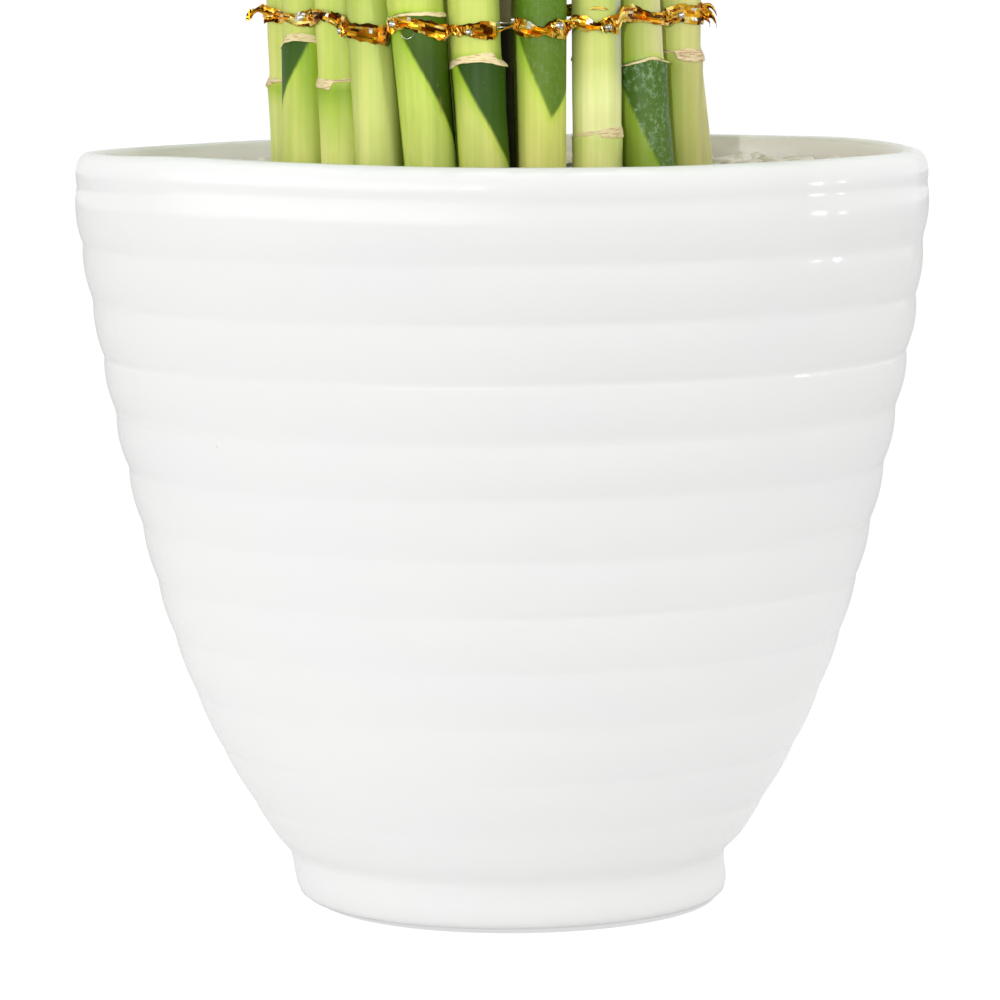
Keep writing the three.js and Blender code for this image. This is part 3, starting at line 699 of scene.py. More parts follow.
# Looks for a scar that the list above doesn't have, drawn at random: its lines are its height plus an arch
# times the cosine of the angle from the arch's middle.
def drawnScar(height, rng):
    angles = np.arange(-180, 180, 24)
    thickness = rng.uniform(0.8, 1.9)
    at = rng.uniform(-180, 180)
    arch = rng.uniform(0.1, 1.1) * np.cos((angles - at) * degree)
    upper = height + arch + 0.15 * rng.standard_normal(len(angles))
    lower = upper - thickness + 0.22 * rng.standard_normal(len(angles))
    start, wide = rng.uniform(-180, 180), rng.uniform(20, 60)
    if rng.uniform() < 0.5:
        away = np.abs(wrapped(angles - start))
        lower = lower - rng.uniform(0.5, 1.3) * smoothStep(wide + 15, wide - 15, away)
    scar = {"upper": list(zip(angles, upper)), "lower": list(zip(angles, lower)),
            "crust": rng.uniform(0, 0.8), "frost": rng.uniform(0, 0.5),
            "flare": (rng.uniform(-180, 180), rng.uniform(0, 0.3), 40)}
    left, slope, span = rng.uniform(-180, 180), rng.uniform(3.5, 6), rng.uniform(140, 280)
    if rng.uniform() < 0.6:
        drop = span / slope
        scar["dark"] = {"left": [(height - drop, left + span), (height, left)],
                        "right": [(height - drop, left + span), (height, left + span)],
                        "skin": [(height - 15, (84, 132, 42)), (height, (60, 104, 24))]}
    return scar


# Skin for a cane that the list doesn't have: pale, and a fresher green below each scar.
def drawnSkin(scars, rng):
    warm = rng.uniform(-1, 1)
    pale = np.array([198, 214, 118]) + warm * np.array([12, 4, 14])
    fresh = np.array([146, 182, 62]) + warm * np.array([10, 6, 6])
    rows = [(110, pale)]
    for scar in scars:
        high = scar["height"]
        rows += [(high - 16, pale), (high - 7, 0.5 * pale + 0.5 * fresh), (high - 1, fresh), (high + 1, pale)]
    return sorted(rows, key=lambda row: row[0])


# Colours at heights up the cane, each turned towards its sides' colours by their shares at the angle: painted
# shade on a darker side, painted light and highlight on a paler one.
def skinColour(rows, sides, angle, z):
    heights = [height for height, _ in rows]
    shades = np.array([paint(*colour) for _, colour in rows])
    colour = np.stack([np.interp(z, heights, shades[:, i]) for i in range(3)], -1)
    for side in sides:
        share = np.clip(aroundCurve(side["share"], angle), 0, 1) * smoothStep(*side.get("rise", (0, 1)), z)
        colour = colour + share[..., None] * (paint(*side["colour"]) - colour)
    return colour


# How far a point is inside the dark skin, in millimetres, or outside it as a negative number.
def darkDepth(dark, angle, z, radius):
    leftRows, rightRows = np.array(dark["left"]), np.array(dark["right"])
    left = np.interp(z, leftRows[:, 0], leftRows[:, 1])
    right = np.interp(z, rightRows[:, 0], rightRows[:, 1])
    inside = np.full(z.shape, -90.0)
    for turn in (-360, 0, 360):
        inside = np.maximum(inside, np.minimum(angle + turn - left, right - angle - turn))
    return np.minimum(inside * degree * radius * 0.75, z - leftRows[0, 0])


# A cane's scars, the lowest first, each with the mean heights of its upper and lower line.
def caneScars(cane, looks, angle, rng):
    scars = []
    for height in sorted(cane["scars"]):
        drawn = drawnScar(height, rng)
        if looks:
            drawn.pop("dark", None)
        scar = {"height": height, **looks.get("scars", {}).get(round(height, 1), drawn)}
        scar["high"] = float(np.mean(aroundCurve(scar["upper"], angle)))
        scar["low"] = float(np.mean(aroundCurve(scar["lower"], angle)))
        scars.append(scar)
    return scars


# Heights of a cane's rings: even steps, and close together at a scar.
def caneLevels(cane, scars, step):
    last = cane["top"] - 0.8
    levels = [cane["footZ"], 128.0, cane["gravel"] - 4, *np.arange(cane["gravel"] - 3, last, step)]
    for scar in scars:
        high, low = scar["high"], scar["low"]
        levels = [z for z in levels if z < low - 5.5 or z > high + 8.5]
        levels += [*(high + np.array([8.0, 6.0, 4.4, 3.1, 2.1, 1.3, 0.7, 0.3, 0.1]))]
        levels += [*np.linspace(high, low, 7), *(low - np.array([0.1, 0.35, 0.9, 1.8, 3, 4.6]))]
    return np.unique(np.round([z for z in levels if z <= last], 3))


# What the scars make of a cane's rings, as grids: how far the rings are lifted to follow the scars' lines,
# how far the radius grows, by the skirt down to a scar's lower edge and with a step in below it, and where
# there is scar, frost and crust.
def scarRelief(scars, angle, level, rng):
    lifted, grown, scarShare, frost, crust = np.zeros((5, *level.shape))
    reached = 0.0
    for scar in scars:
        high, low = scar["high"], scar["low"]
        upper = aroundCurve(scar["upper"], angle) + 0.07 * wander(angle * degree, rng, (5, 8, 13))
        lower = aroundCurve(scar["lower"], angle) + 0.1 * wander(angle * degree, rng, (6, 11, 17))
        lower = np.minimum(lower, upper - 0.25)
        share = np.clip((high - level) / (high - low), 0, 1)
        shift = (upper - high) * (1 - share) + (lower - low) * share
        fade = smoothStep(high + 9, high + 0.5, level) * smoothStep(low - 9, low - 0.5, level)
        lifted = lifted + shift * fade
        skirt = caneLooks["skirt"] * np.minimum(1, (upper - lower) / 0.9)
        if "flare" in scar:
            at, extra, wide = scar["flare"]
            skirt = skirt + extra * np.exp(-(wrapped(angle - at) / wide) ** 2)
        places = [low - 9, low - 3, low - 0.35, low - 0.1, low, low + 0.1, low + 0.5 * (high - low), high,
                  high + 0.7, high + 3, high + 8]
        swell = np.interp(level, places, [0, 0.25, 0.45, 0.5, 0.92, 1, 0.6, -0.1, -0.25, -0.22, 0])
        grown = grown + swell * skirt
        inBand = smoothStep(high + 0.05, high - 0.15, level) * smoothStep(low - 0.1, low, level)
        scarShare = np.maximum(scarShare, inBand)
        frost = np.where((level < high + 12) & (level > reached), scar.get("frost", 0.0), frost)
        reached = high + 12
        crust = np.where(np.abs(level - low) < 12, scar.get("crust", 0.1), crust)
    return lifted, grown, scarShare, frost, crust


# The older dark skin below the scars: its colour, and how far inside it each point is.
def darkSkin(scars, looks, bearing, z, radius):
    depth = np.full_like(z, -5.0)
    colour = np.zeros((*z.shape, 3)) + paint(70, 115, 30)
    tone = np.array(looks.get("darkTone", caneLooks["darkTone"]))
    for i, scar in enumerate(scars):
        if "dark" in scar:
            inside = darkDepth(scar["dark"], bearing, z, radius)
            if i:
                inside = np.minimum(inside, z - aroundCurve(scars[i - 1]["upper"], bearing))
            lower = aroundCurve(scar["lower"], bearing)
            inside = np.minimum(inside, lower - z + 0.6)
            below = (z < lower + 0.6) & (inside > depth)
            shade = skinColour(scar["dark"]["skin"], (), bearing, z) * tone
            colour = np.where(below[..., None], shade, colour)
            depth = np.maximum(depth, inside)
    return colour, depth


# A cane is rings round its leaning axis. Rows near a scar follow the scar's upper and lower lines round the
# cane, and the last rings are the cut top.
def caneShell(cane, rng):
    looks = caneLooks.get(cane["name"], {})
    plain = caneLooks["plainRadius" if "outer" in cane["name"] else "innerRadius"]
    topRadius, baseRadius = looks.get("radius", (plain, plain))
    angle = np.linspace(-180, 180, caneLooks["columns" if looks else "backColumns"], endpoint=False)
    turn = angle * degree
    scars = caneScars(cane, looks, angle, rng)
    levels = caneLevels(cane, scars, caneLooks["rowStep" if looks else "backRowStep"])
    level = levels[:, None] + 0 * angle[None, :]
    lifted, grown, scarShare, frost, crust = scarRelief(scars, angle, level, rng)
    z = level + lifted
    radius = baseRadius + (topRadius - baseRadius) * smoothStep(cane["gravel"], cane["top"], level) + grown
    radius = radius + 0.07 * wander(turn[None, :] + level / 40, rng, (2, 3))
    radius = radius + scarShare * (0.03 + 0.09 * crust) * rng.standard_normal(z.shape)
    bearing = angle[None, :] + 0 * z
    skin = looks.get("skin") or drawnSkin(scars, rng)
    # The skin's colours carry the painted shade and highlight of the canes' sides.
    colour = skinColour(skin, looks.get("sides", ()), bearing, z) * caneLooks["tone"]
    dark, depth = darkSkin(scars, looks, bearing, z, topRadius)
    blemish = np.zeros_like(z)
    if "blemish" in looks:
        spotAngle, spotHeight = looks["blemish"]
        across = (bearing - spotAngle) * degree * topRadius / 0.35
        blemish = np.exp(-across ** 2 - ((z - spotHeight) / 1.7) ** 4)
    share, drop = np.array(caneLooks["cutTop"]).T[..., None]
    cut = np.zeros((len(level) + len(share), len(angle)))
    cut[len(level) + 1:] = 1
    z = np.concatenate([z, cane["top"] - drop + 0 * angle])
    radius = np.concatenate([radius, share * radius[-1:]])
    marks = {"skin": [colour, depth[..., None]], "dark": [dark, scarShare[..., None]],
             "wear": [grid[..., None] for grid in (frost, blemish, crust)]}
    for name, grids in marks.items():
        grid = np.concatenate(grids, -1)
        marks[name] = np.concatenate([grid, np.repeat(grid[-1:], len(share), 0)])
    marks["wear"] = np.concatenate([marks["wear"], cut[..., None]], -1)
    centre = caneAxis(cane, z)
    rings = np.stack([centre[..., 0] + radius * np.sin(turn), centre[..., 1] - radius * np.cos(turn), z], -1)
    return tubeShell(rings, marks)


# Waxy skin in the cane's colours, with their painted shade and highlight, the dark skin inside its edge, fine
# fibres up the cane, soft vertical bands of lighter and darker green as painted light and shade, pale scuffs
# where there is frost, dry streaked scars and a corky cut top.
def caneSkin():
    material, tree, shader = newMaterial("cane_skin")
    colour, _, inside = readMark(tree, "skin")
    dark, _, scar = readMark(tree, "dark")
    _, (frost, blemish, crust), cut = readMark(tree, "wear")
    fibre = noiseValue(tree, (1.8, 1.8, 0.05), 3.0)
    bands = noiseValue(tree, (0.42, 0.42, 0.012), 1.0)
    cloud = noiseValue(tree, (0.2, 0.2, 0.1), 2.0)
    edge = mathValue(tree, "MULTIPLY_ADD", mathValue(tree, "SUBTRACT", fibre, 0.5), 0.3, inside)
    colour = mixColour(tree, ramped(tree, edge, -1.6, -0.3), colour, (0.9, 0.98, 0.6), "MULTIPLY")
    colour = mixColour(tree, ramped(tree, edge, -0.4, 0.42), colour, dark)
    # Painted light and shade: soft vertical bands that make the cane lighter and darker.
    colour = mixColour(tree, ramped(tree, bands, 0.35, 0.65), colour, (0.86, 0.91, 0.78), "MULTIPLY")
    colour = mixColour(tree, ramped(tree, cloud, 0.35, 0.7), colour, (0.94, 0.96, 0.88), "MULTIPLY")
    colour = mixColour(tree, ramped(tree, fibre, 0.35, 0.75), colour, (0.93, 0.95, 0.9), "MULTIPLY")
    scuff = noiseValue(tree, (1.0, 1.0, 0.75), 6.0, roughness=0.78)
    fine = ramped(tree, noiseValue(tree, (2.4, 2.4, 1.5), 2.0), 0.7, 0.76)
    aged = mathValue(tree, "MULTIPLY", frost, ramped(tree, inside, -1.5, 0.3))
    streak = mathValue(tree, "MULTIPLY", ramped(tree, scuff, 0.47, 0.72), aged)
    streak, fine = mathValue(tree, "MULTIPLY", streak, 0.5), mathValue(tree, "MULTIPLY", fine, 0.3)
    pallor = mathValue(tree, "MAXIMUM", streak, fine)
    colour = mixColour(tree, pallor, colour, (0.45, 0.6, 0.42))
    colour = mixColour(tree, mathValue(tree, "MULTIPLY", blemish, 0.6), colour, (0.2, 0.16, 0.05))
    ring = noiseValue(tree, (0.5, 0.5, 3.6), 3.0)
    dry = mixColour(tree, ramped(tree, ring, 0.3, 0.5), (0.5, 0.35, 0.16), (0.76, 0.64, 0.37))
    crusty = mixColour(tree, ramped(tree, ring, 0.32, 0.6), (0.34, 0.23, 0.13), (0.7, 0.54, 0.35))
    dry = mixColour(tree, mathValue(tree, "MULTIPLY", crust, 0.8), dry, crusty)
    colour = mixColour(tree, ramped(tree, scar, 0.2, 0.75), colour, dry)
    heart = ramped(tree, noiseValue(tree, (0.8, 0.8, 0.8), 3.0), 0.35, 0.65)
    colour = mixColour(tree, cut, colour, mixColour(tree, heart, (0.62, 0.52, 0.28), (0.76, 0.71, 0.45)))
    tree.links.new(colour, shader.inputs["Base Color"])
    dull = mathValue(tree, "MULTIPLY_ADD", scar, 0.3, 0.46)
    tree.links.new(mathValue(tree, "MULTIPLY_ADD", pallor, 0.2, dull), shader.inputs["Roughness"])
    shader.inputs["IOR"].default_value = 1.3
    relief = mathValue(tree, "MULTIPLY_ADD", fibre, 0.3, mathValue(tree, "MULTIPLY", ring, scar))
    addBump(tree, shader, relief, 0.2, 0.4)
    return material


caneMaterial = caneSkin()
caneRng = np.random.default_rng(caneLooks["seed"])
for name, cane in canes.items():
    addPiece(name.replace("stalk", "cane"), caneShell(cane, caneRng), caneMaterial, [name])
print("canes:", len(canes))


# The plant's rule of growth, the same as the frame's: where each stem stands and how each leaf is drawn. Each
# pair without a note is the lowest and the highest number that is drawn. place runs from 0 at a shoot's first
# leaf to 1 at its last.
growth = {
    "seed": 229,
    "ringCentre": np.array([-2.05, 0.0]),
    "shootGap": 0.1,
    "aboveScar": 4,
    "lowestLeaf": 192.5,  # no leaf reaches below this height
    "leafGap": 4.6,
    "leafTries": 60,
    "leafFoot": (0.42, 0.53),  # how far up the stem the first leaf stands, and the others' span above it
    "spread": (50, 12),  # widest turn to the side, in degrees, of the first and the last leaf
    "rise": (42, 34),  # slope at the leaf's root, in degrees, and what it gains up to the last leaf
    "riseDraw": (-8, 8),
    "fall": (-48, 96),  # the same for the slope at its tip
    "fallDraw": (-20, 14),
    "sweep": (-0.1, 0.1),
    "roll": (-22, 22),
    "shorter": 0.18,  # how much shorter the last leaf is than the first, as a share
    "shrink": 0.93,  # a leaf that finds no room is made shorter by this after some tries
    "stemRadius": 2.9,
    "stemTipRadius": 1.9,
    "stemGap": 2.4,
    "caneGap": 2.6,
    "tiers": {
        "outer": {"leaves": 4, "reach": 148, "length": (76, 108), "width": (12, 15.5), "out": 15, "up": 26},
        "middle": {"leaves": 6, "reach": 130, "length": (80, 114), "width": (12.5, 16), "out": 13, "up": 34},
        "centre": {"leaves": 7, "reach": 118, "length": (84, 118), "width": (13, 16.5), "out": 12, "up": 38},
    },
    "bearings": [-85.8, -69, -48.8, -33, -17.3, -2.1, 14.4, 31.4, 51.3, 69.7, 90, 108, 127, 145.8, 165.2,
                 181.5, 198, 215, 233, 252],
}
seedState = growth["seed"]


# The next number from 0 to 1, by a linear congruence.
def draw():
    global seedState
    seedState = (seedState * 1664525 + 1013904223) % 4294967296
    return seedState / 4294967296


def between(low, high):
    return low + (high - low) * draw()


# A stem leaves its cane level and turns up: outwards by 1 minus the square of what is left, up by the square.
def stemPoints(shoot, t):
    t = np.asarray(t, float)[..., None]
    outwards = shoot["out"] * shoot["stemOut"] * (1 - (1 - t) ** 2)
    return shoot["root"] + outwards + upward * shoot["stemUp"] * t * t


# Where on its stem a leaf stands, by its place.
def leafFoot(place):
    first, span = growth["leafFoot"]
    return first + span * place


def newShoot(name, tier, cane, height, bearing):
    sizes = growth["tiers"][tier]
    out = np.array([math.sin(bearing * degree), -math.cos(bearing * degree), 0.0])
    axis = np.array([*caneAxis(cane, np.array(height)), height])
    shoot = {"name": name, "tier": sizes, "out": out, "azimuth": math.atan2(out[1], out[0]), "leaves": [],
             "root": axis + out * (cane["radius"] + growth["shootGap"])}
    shoot["stemOut"] = sizes["out"] * between(0.8, 1.15)
    shoot["stemUp"] = sizes["up"] * between(0.85, 1.15)
    shoot["stemSamples"] = stemPoints(shoot, [0.1, 0.25, 0.4, 0.55, 0.7, 0.85, 1])
    shoot["leafSamples"] = np.zeros((0, 3))
    return shoot


# Half a leaf's width: a swelling sine of the place along it to a power, narrowing to the tip, and a broad
# root.
def leafHalfWidth(leaf, u):
    swell = np.sin(math.pi * u ** 0.72) ** 0.85
    return leaf["width"] / 2 * swell * (1 - 0.12 * u) + 1.2 * (1 - u) ** 4 + 0.3


# A leaf's midrib is an arc whose slope turns evenly from rise to fall, and drifts sideways by its sweep. The
# blade rolls about it by its roll.
def leafPoints(leaf, u, across, halfWidth=None):
    turn = leaf["fall"] - leaf["rise"]
    slope = leaf["rise"] + turn * u
    run = leaf["length"] / turn * (np.sin(slope) - math.sin(leaf["rise"]))
    lift = leaf["length"] / turn * (math.cos(leaf["rise"]) - np.cos(slope))
    half = (leafHalfWidth(leaf, np.minimum(u, 0.999)) if halfWidth is None else halfWidth) * across
    roll = leaf["roll"] * u
    sideways = leaf["length"] * leaf["sweep"] * u * u + half * np.cos(roll)
    overX = -np.sin(slope) * np.sin(roll) * half
    overZ = np.cos(slope) * np.sin(roll) * half
    cos, sin = math.cos(leaf["azimuth"]), math.sin(leaf["azimuth"])
    x = leaf["root"][0] + (run + overX) * cos - sideways * sin
    y = leaf["root"][1] + (run + overX) * sin + sideways * cos
    return np.stack([x, y, leaf["root"][2] + lift + overZ], -1)


sampleRows, sampleAcross = np.meshgrid([0.16, 0.24, 0.32, 0.4, 0.48, 0.56, 0.64, 0.72, 0.8, 0.88, 0.96, 1],
                                       [-1, -0.5, 0, 0.5, 1], indexing="ij")


# The least distance from any point to any of the others.
def nearest(points, others):
    if not len(others):
        return math.inf
    return np.sqrt(((points[:, None, :] - others[None, :, :]) ** 2).sum(-1).min())


def clearOfCanes(points):
    for cane in canes.values():
        away = np.hypot(*(points[:, :2] - caneAxis(cane, points[:, 2])).T)
        if np.any((points[:, 2] <= cane["top"] + 4) & (away <= cane["radius"] + growth["caneGap"])):
            return False
    return True


# Draws a leaf again and again within its place on the stem until it clears the canes and the other shoots.
def growLeaf(shoot, place, shoots):
    tier = shoot["tier"]
    side = 1 if len(shoot["leaves"]) % 2 else -1
    others = [other for other in shoots if other is not shoot]
    stems = np.concatenate([other["stemSamples"] for other in others])
    leaves = np.concatenate([other["leafSamples"] for other in others])
    shrink = 1
    (rise, riseGain), (fall, fallGain) = growth["rise"], growth["fall"]
    firstSpread, lastSpread = growth["spread"]
    spread = (1 - place) * (firstSpread - lastSpread) + lastSpread
    for tries in range(growth["leafTries"]):
        turn = side * between(0.2, 1) * spread
        leaf = {
            "root": stemPoints(shoot, leafFoot(place)),
            "place": place,
            "azimuth": shoot["azimuth"] + turn * degree,
            "rise": (rise + riseGain * place + between(*growth["riseDraw"])) * degree,
            "fall": (fall + fallGain * place + between(*growth["fallDraw"])) * degree,
            "length": between(*tier["length"]) * shrink * (1 - growth["shorter"] * place),
            "width": between(*tier["width"]),
            "sweep": between(*growth["sweep"]),
            "roll": between(*growth["roll"]) * degree,
        }
        points = leafPoints(leaf, sampleRows, sampleAcross).reshape(-1, 3)
        if (points[:, 2].min() > growth["lowestLeaf"] and np.hypot(*points[:, :2].T).max() < tier["reach"]
                and clearOfCanes(points) and nearest(points, stems) > growth["stemRadius"] + growth["stemGap"]
                and nearest(points, leaves) > growth["leafGap"]):
            shoot["leaves"].append(leaf)
            shoot["leafSamples"] = np.concatenate([shoot["leafSamples"], points])
            return
        if tries % 6 == 5:
            shrink *= growth["shrink"]


shoots = []
for i, bearing in enumerate(growth["bearings"]):
    cane = canes[outerNames[i]]
    height = cane["scars"][-1] + growth["aboveScar"]
    shoots.append(newShoot(f"shoot_outer_{i + 1:02d}", "outer", cane, height, bearing))
for i in range(6):
    cane = canes[middleNames[i]]
    shoots.append(newShoot(f"shoot_middle_{i + 1}", "middle", cane, cane["top"] - 7, i * 60))
centre = canes["stalk_centre"]
shoots.append(newShoot("shoot_centre_1", "centre", centre, centre["top"] - 8, 25))
shoots.append(newShoot("shoot_centre_2", "centre", centre, centre["top"] - 16, 205))
for row in range(7):
    for shoot in shoots:
        if row < shoot["tier"]["leaves"]:
            growLeaf(shoot, row / (shoot["tier"]["leaves"] - 1), shoots)
print("growth:", sum(len(shoot["leaves"]) for shoot in shoots), "leaves on", len(shoots), "shoots")

leafLooks = {
    "rows": 28,
    "across": 9,
    "fold": 0.2,  # how far the edges stand above the midrib, as a share of half the width
    "wave": 0.55,  # height of the wave along the edges
    "thick": 0.62,  # thickness at the midrib's root
    "stemColumns": 14,
    "stemRows": 44,
    "seed": 77,
}


# A leaf blade: the leaf's points with the edges lifted in a shallow V, a slow wave along them, a clasping
# root and a thickness that thins to the edges and the tip.
def leafShell(leaf, rng):
    count = leafLooks["across"]
    u = np.concatenate([np.linspace(0, 0.12, 6)[:-1], np.linspace(0.12, 0.9, leafLooks["rows"] - 10),
                        [0.93, 0.955, 0.975, 0.99, 1]])[:, None]
    top = np.linspace(1, -1, count)
    across = np.concatenate([top, -top[1:-1]])[None, :]
    under = np.concatenate([np.zeros(count), np.ones(count - 2)])[None, :]
    half = leafHalfWidth(leaf, np.minimum(u, 0.999)) - 0.27 * smoothStep(0.85, 1.0, u)
    flat = leafPoints(leaf, u, across, half)
    slope = leaf["rise"] + (leaf["fall"] - leaf["rise"]) * u
    level, azimuth = np.cos(slope), leaf["azimuth"]
    ahead = np.concatenate([level * math.cos(azimuth), level * math.sin(azimuth), np.sin(slope)], -1)
    edges = leafPoints(leaf, u, np.array([[1.0, -1.0]]), half)
    side = edges[:, 0] - edges[:, 1]
    over = np.cross(ahead, side / np.linalg.norm(side, axis=-1, keepdims=True))
    over = (over / np.linalg.norm(over, axis=-1, keepdims=True))[:, None, :]
    phase = rng.uniform(0, 6.28, 3)
    rib = np.abs(across)
    fold = leafLooks["fold"] * half * rib ** 1.25 * (1 - 0.45 * u)
    fold = fold + 1.5 * rib ** 1.5 * smoothStep(0.14, 0.0, u)
    wave = across ** 2 * np.sin(2 * math.pi * 1.4 * u + phase[0] + np.sign(across) * phase[1])
    wave = wave + 0.5 * across ** 2 * np.sin(2 * math.pi * 3.1 * u + phase[2])
    lift = fold + leafLooks["wave"] * wave * np.sin(math.pi * u) ** 0.7
    thick = leafLooks["thick"] * (1 - 0.72 * across ** 2) * (1 - 0.55 * u) + 0.1
    rings = flat + over * (lift + (0.5 - under) * thick)[..., None]
    tone = rng.uniform(0, 1)
    marks = np.stack([u + 0 * across, across * 0.5 + 0.5 + 0 * u, tone + 0 * (u + across), under + 0 * u], -1)
    return tubeShell(rings, {"blade": marks})


# A stem: a tube along the stem's points, stepped where each leaf's sheath ends, with a rolled spear at its
# tip.
def stemShell(shoot, rng):
    columns = leafLooks["stemColumns"]
    t = np.linspace(0, 1, leafLooks["stemRows"])
    radius = growth["stemRadius"] + (growth["stemTipRadius"] - growth["stemRadius"]) * t
    radius = radius + 0.9 * np.exp(-(t / 0.05) ** 2)
    for leaf in shoot["leaves"]:
        root = leafFoot(leaf["place"])
        radius = radius + 0.4 * smoothStep(root - 0.16, root - 0.01, t) * smoothStep(root + 0.03, root, t)
    spear = np.linspace(0.04, 1, 12)
    tip = stemPoints(shoot, 1.0)
    tipDirection = upward * 2 * shoot["stemUp"]
    tipDirection = tipDirection / np.linalg.norm(tipDirection) + shoot["out"] * rng.uniform(-0.12, 0.2)
    length = rng.uniform(16, 26)
    centres = np.concatenate([stemPoints(shoot, t), tip + tipDirection * (spear * length)[:, None]])
    ahead = np.concatenate([shoot["out"] * 2 * shoot["stemOut"] * (1 - t)[:, None]
                            + upward * 2 * shoot["stemUp"] * t[:, None], tipDirection + 0 * spear[:, None]])
    ahead = ahead / np.linalg.norm(ahead, axis=-1, keepdims=True)
    side = np.cross(upward, shoot["out"])
    over = np.cross(ahead, side)
    radius = np.concatenate([radius, 1.75 * (1 - spear ** 1.6) + 0.08])
    turn = np.linspace(0, 2 * math.pi, columns, endpoint=False)
    rings = centres[:, None, :] + radius[:, None, None] * (
        np.cos(turn)[None, :, None] * side + np.sin(turn)[None, :, None] * over[:, None, :])
    along = np.concatenate([-t - 0.001, np.full(len(spear), -0.9)])[:, None] + 0 * turn[None, :]
    tone = np.full_like(along, rng.uniform(0, 1))
    marks = np.stack([along, np.full_like(along, 0.25), tone, np.zeros_like(along)], -1)
    return tubeShell(rings, {"blade": marks})


# Glossy blades with fine parallel veins, a paler midrib and root, and small differences from leaf to leaf.
# The first number of the blade mark is the place along a leaf, or below zero on a stem.
def leafSkin():
    material, tree, shader = newMaterial("leaf_skin")
    _, (along, across, tone), under = readMark(tree, "blade")
    rows = addNode(tree, "ShaderNodeCombineXYZ", {0: along, 1: across, 2: tone}).outputs[0]
    veins = noiseValue(tree, (0.8, 46.0, 9.0), 2.0, rows)
    bands = noiseValue(tree, (1.6, 5.0, 7.0), 2.0, rows)
    colour = mixColour(tree, tone, (0.045, 0.17, 0.018), (0.1, 0.27, 0.03))
    colour = mixColour(tree, ramped(tree, bands, 0.4, 0.7), colour, (0.15, 0.33, 0.045))
    colour = mixColour(tree, ramped(tree, veins, 0.45, 0.75), colour, (0.17, 0.36, 0.06))
    rib = ramped(tree, mathValue(tree, "ABSOLUTE", mathValue(tree, "SUBTRACT", across, 0.5)), 0.035, 0.005)
    colour = mixColour(tree, mathValue(tree, "MULTIPLY", rib, 0.5), colour, (0.27, 0.45, 0.1))
    root = mathValue(tree, "MULTIPLY", ramped(tree, along, 0.2, 0.0), 0.8)
    colour = mixColour(tree, root, colour, (0.4, 0.52, 0.14))
    tip = mathValue(tree, "MULTIPLY", ramped(tree, along, 0.95, 1.0), 0.7)
    colour = mixColour(tree, tip, colour, (0.45, 0.36, 0.1))
    colour = mixColour(tree, mathValue(tree, "MULTIPLY", under, 0.35), colour, (0.2, 0.38, 0.12))
    stem = ramped(tree, along, 0.0, -0.002)
    stemColour = mixColour(tree, ramped(tree, along, -0.7, -0.1), (0.2, 0.42, 0.06), (0.5, 0.6, 0.2))
    dry = mixColour(tree, ramped(tree, along, -0.06, -0.02), stemColour, (0.55, 0.45, 0.25))
    colour = mixColour(tree, stem, colour, dry)
    tree.links.new(colour, shader.inputs["Base Color"])
    shader.inputs["Roughness"].default_value = 0.34
    shader.inputs["IOR"].default_value = 1.45
    addBump(tree, shader, veins, 0.15, 0.5)
    return material


leafMaterial = leafSkin()
leafRng = np.random.default_rng(leafLooks["seed"])
for shoot in shoots:
    shells = [stemShell(shoot, leafRng)] + [leafShell(leaf, leafRng) for leaf in shoot["leaves"]]
    name = shoot["name"]
    addPiece(name.replace("shoot", "leafy_shoot"), joinShells(shells), leafMaterial, [name])
print("shoots: stems, spears and blades")
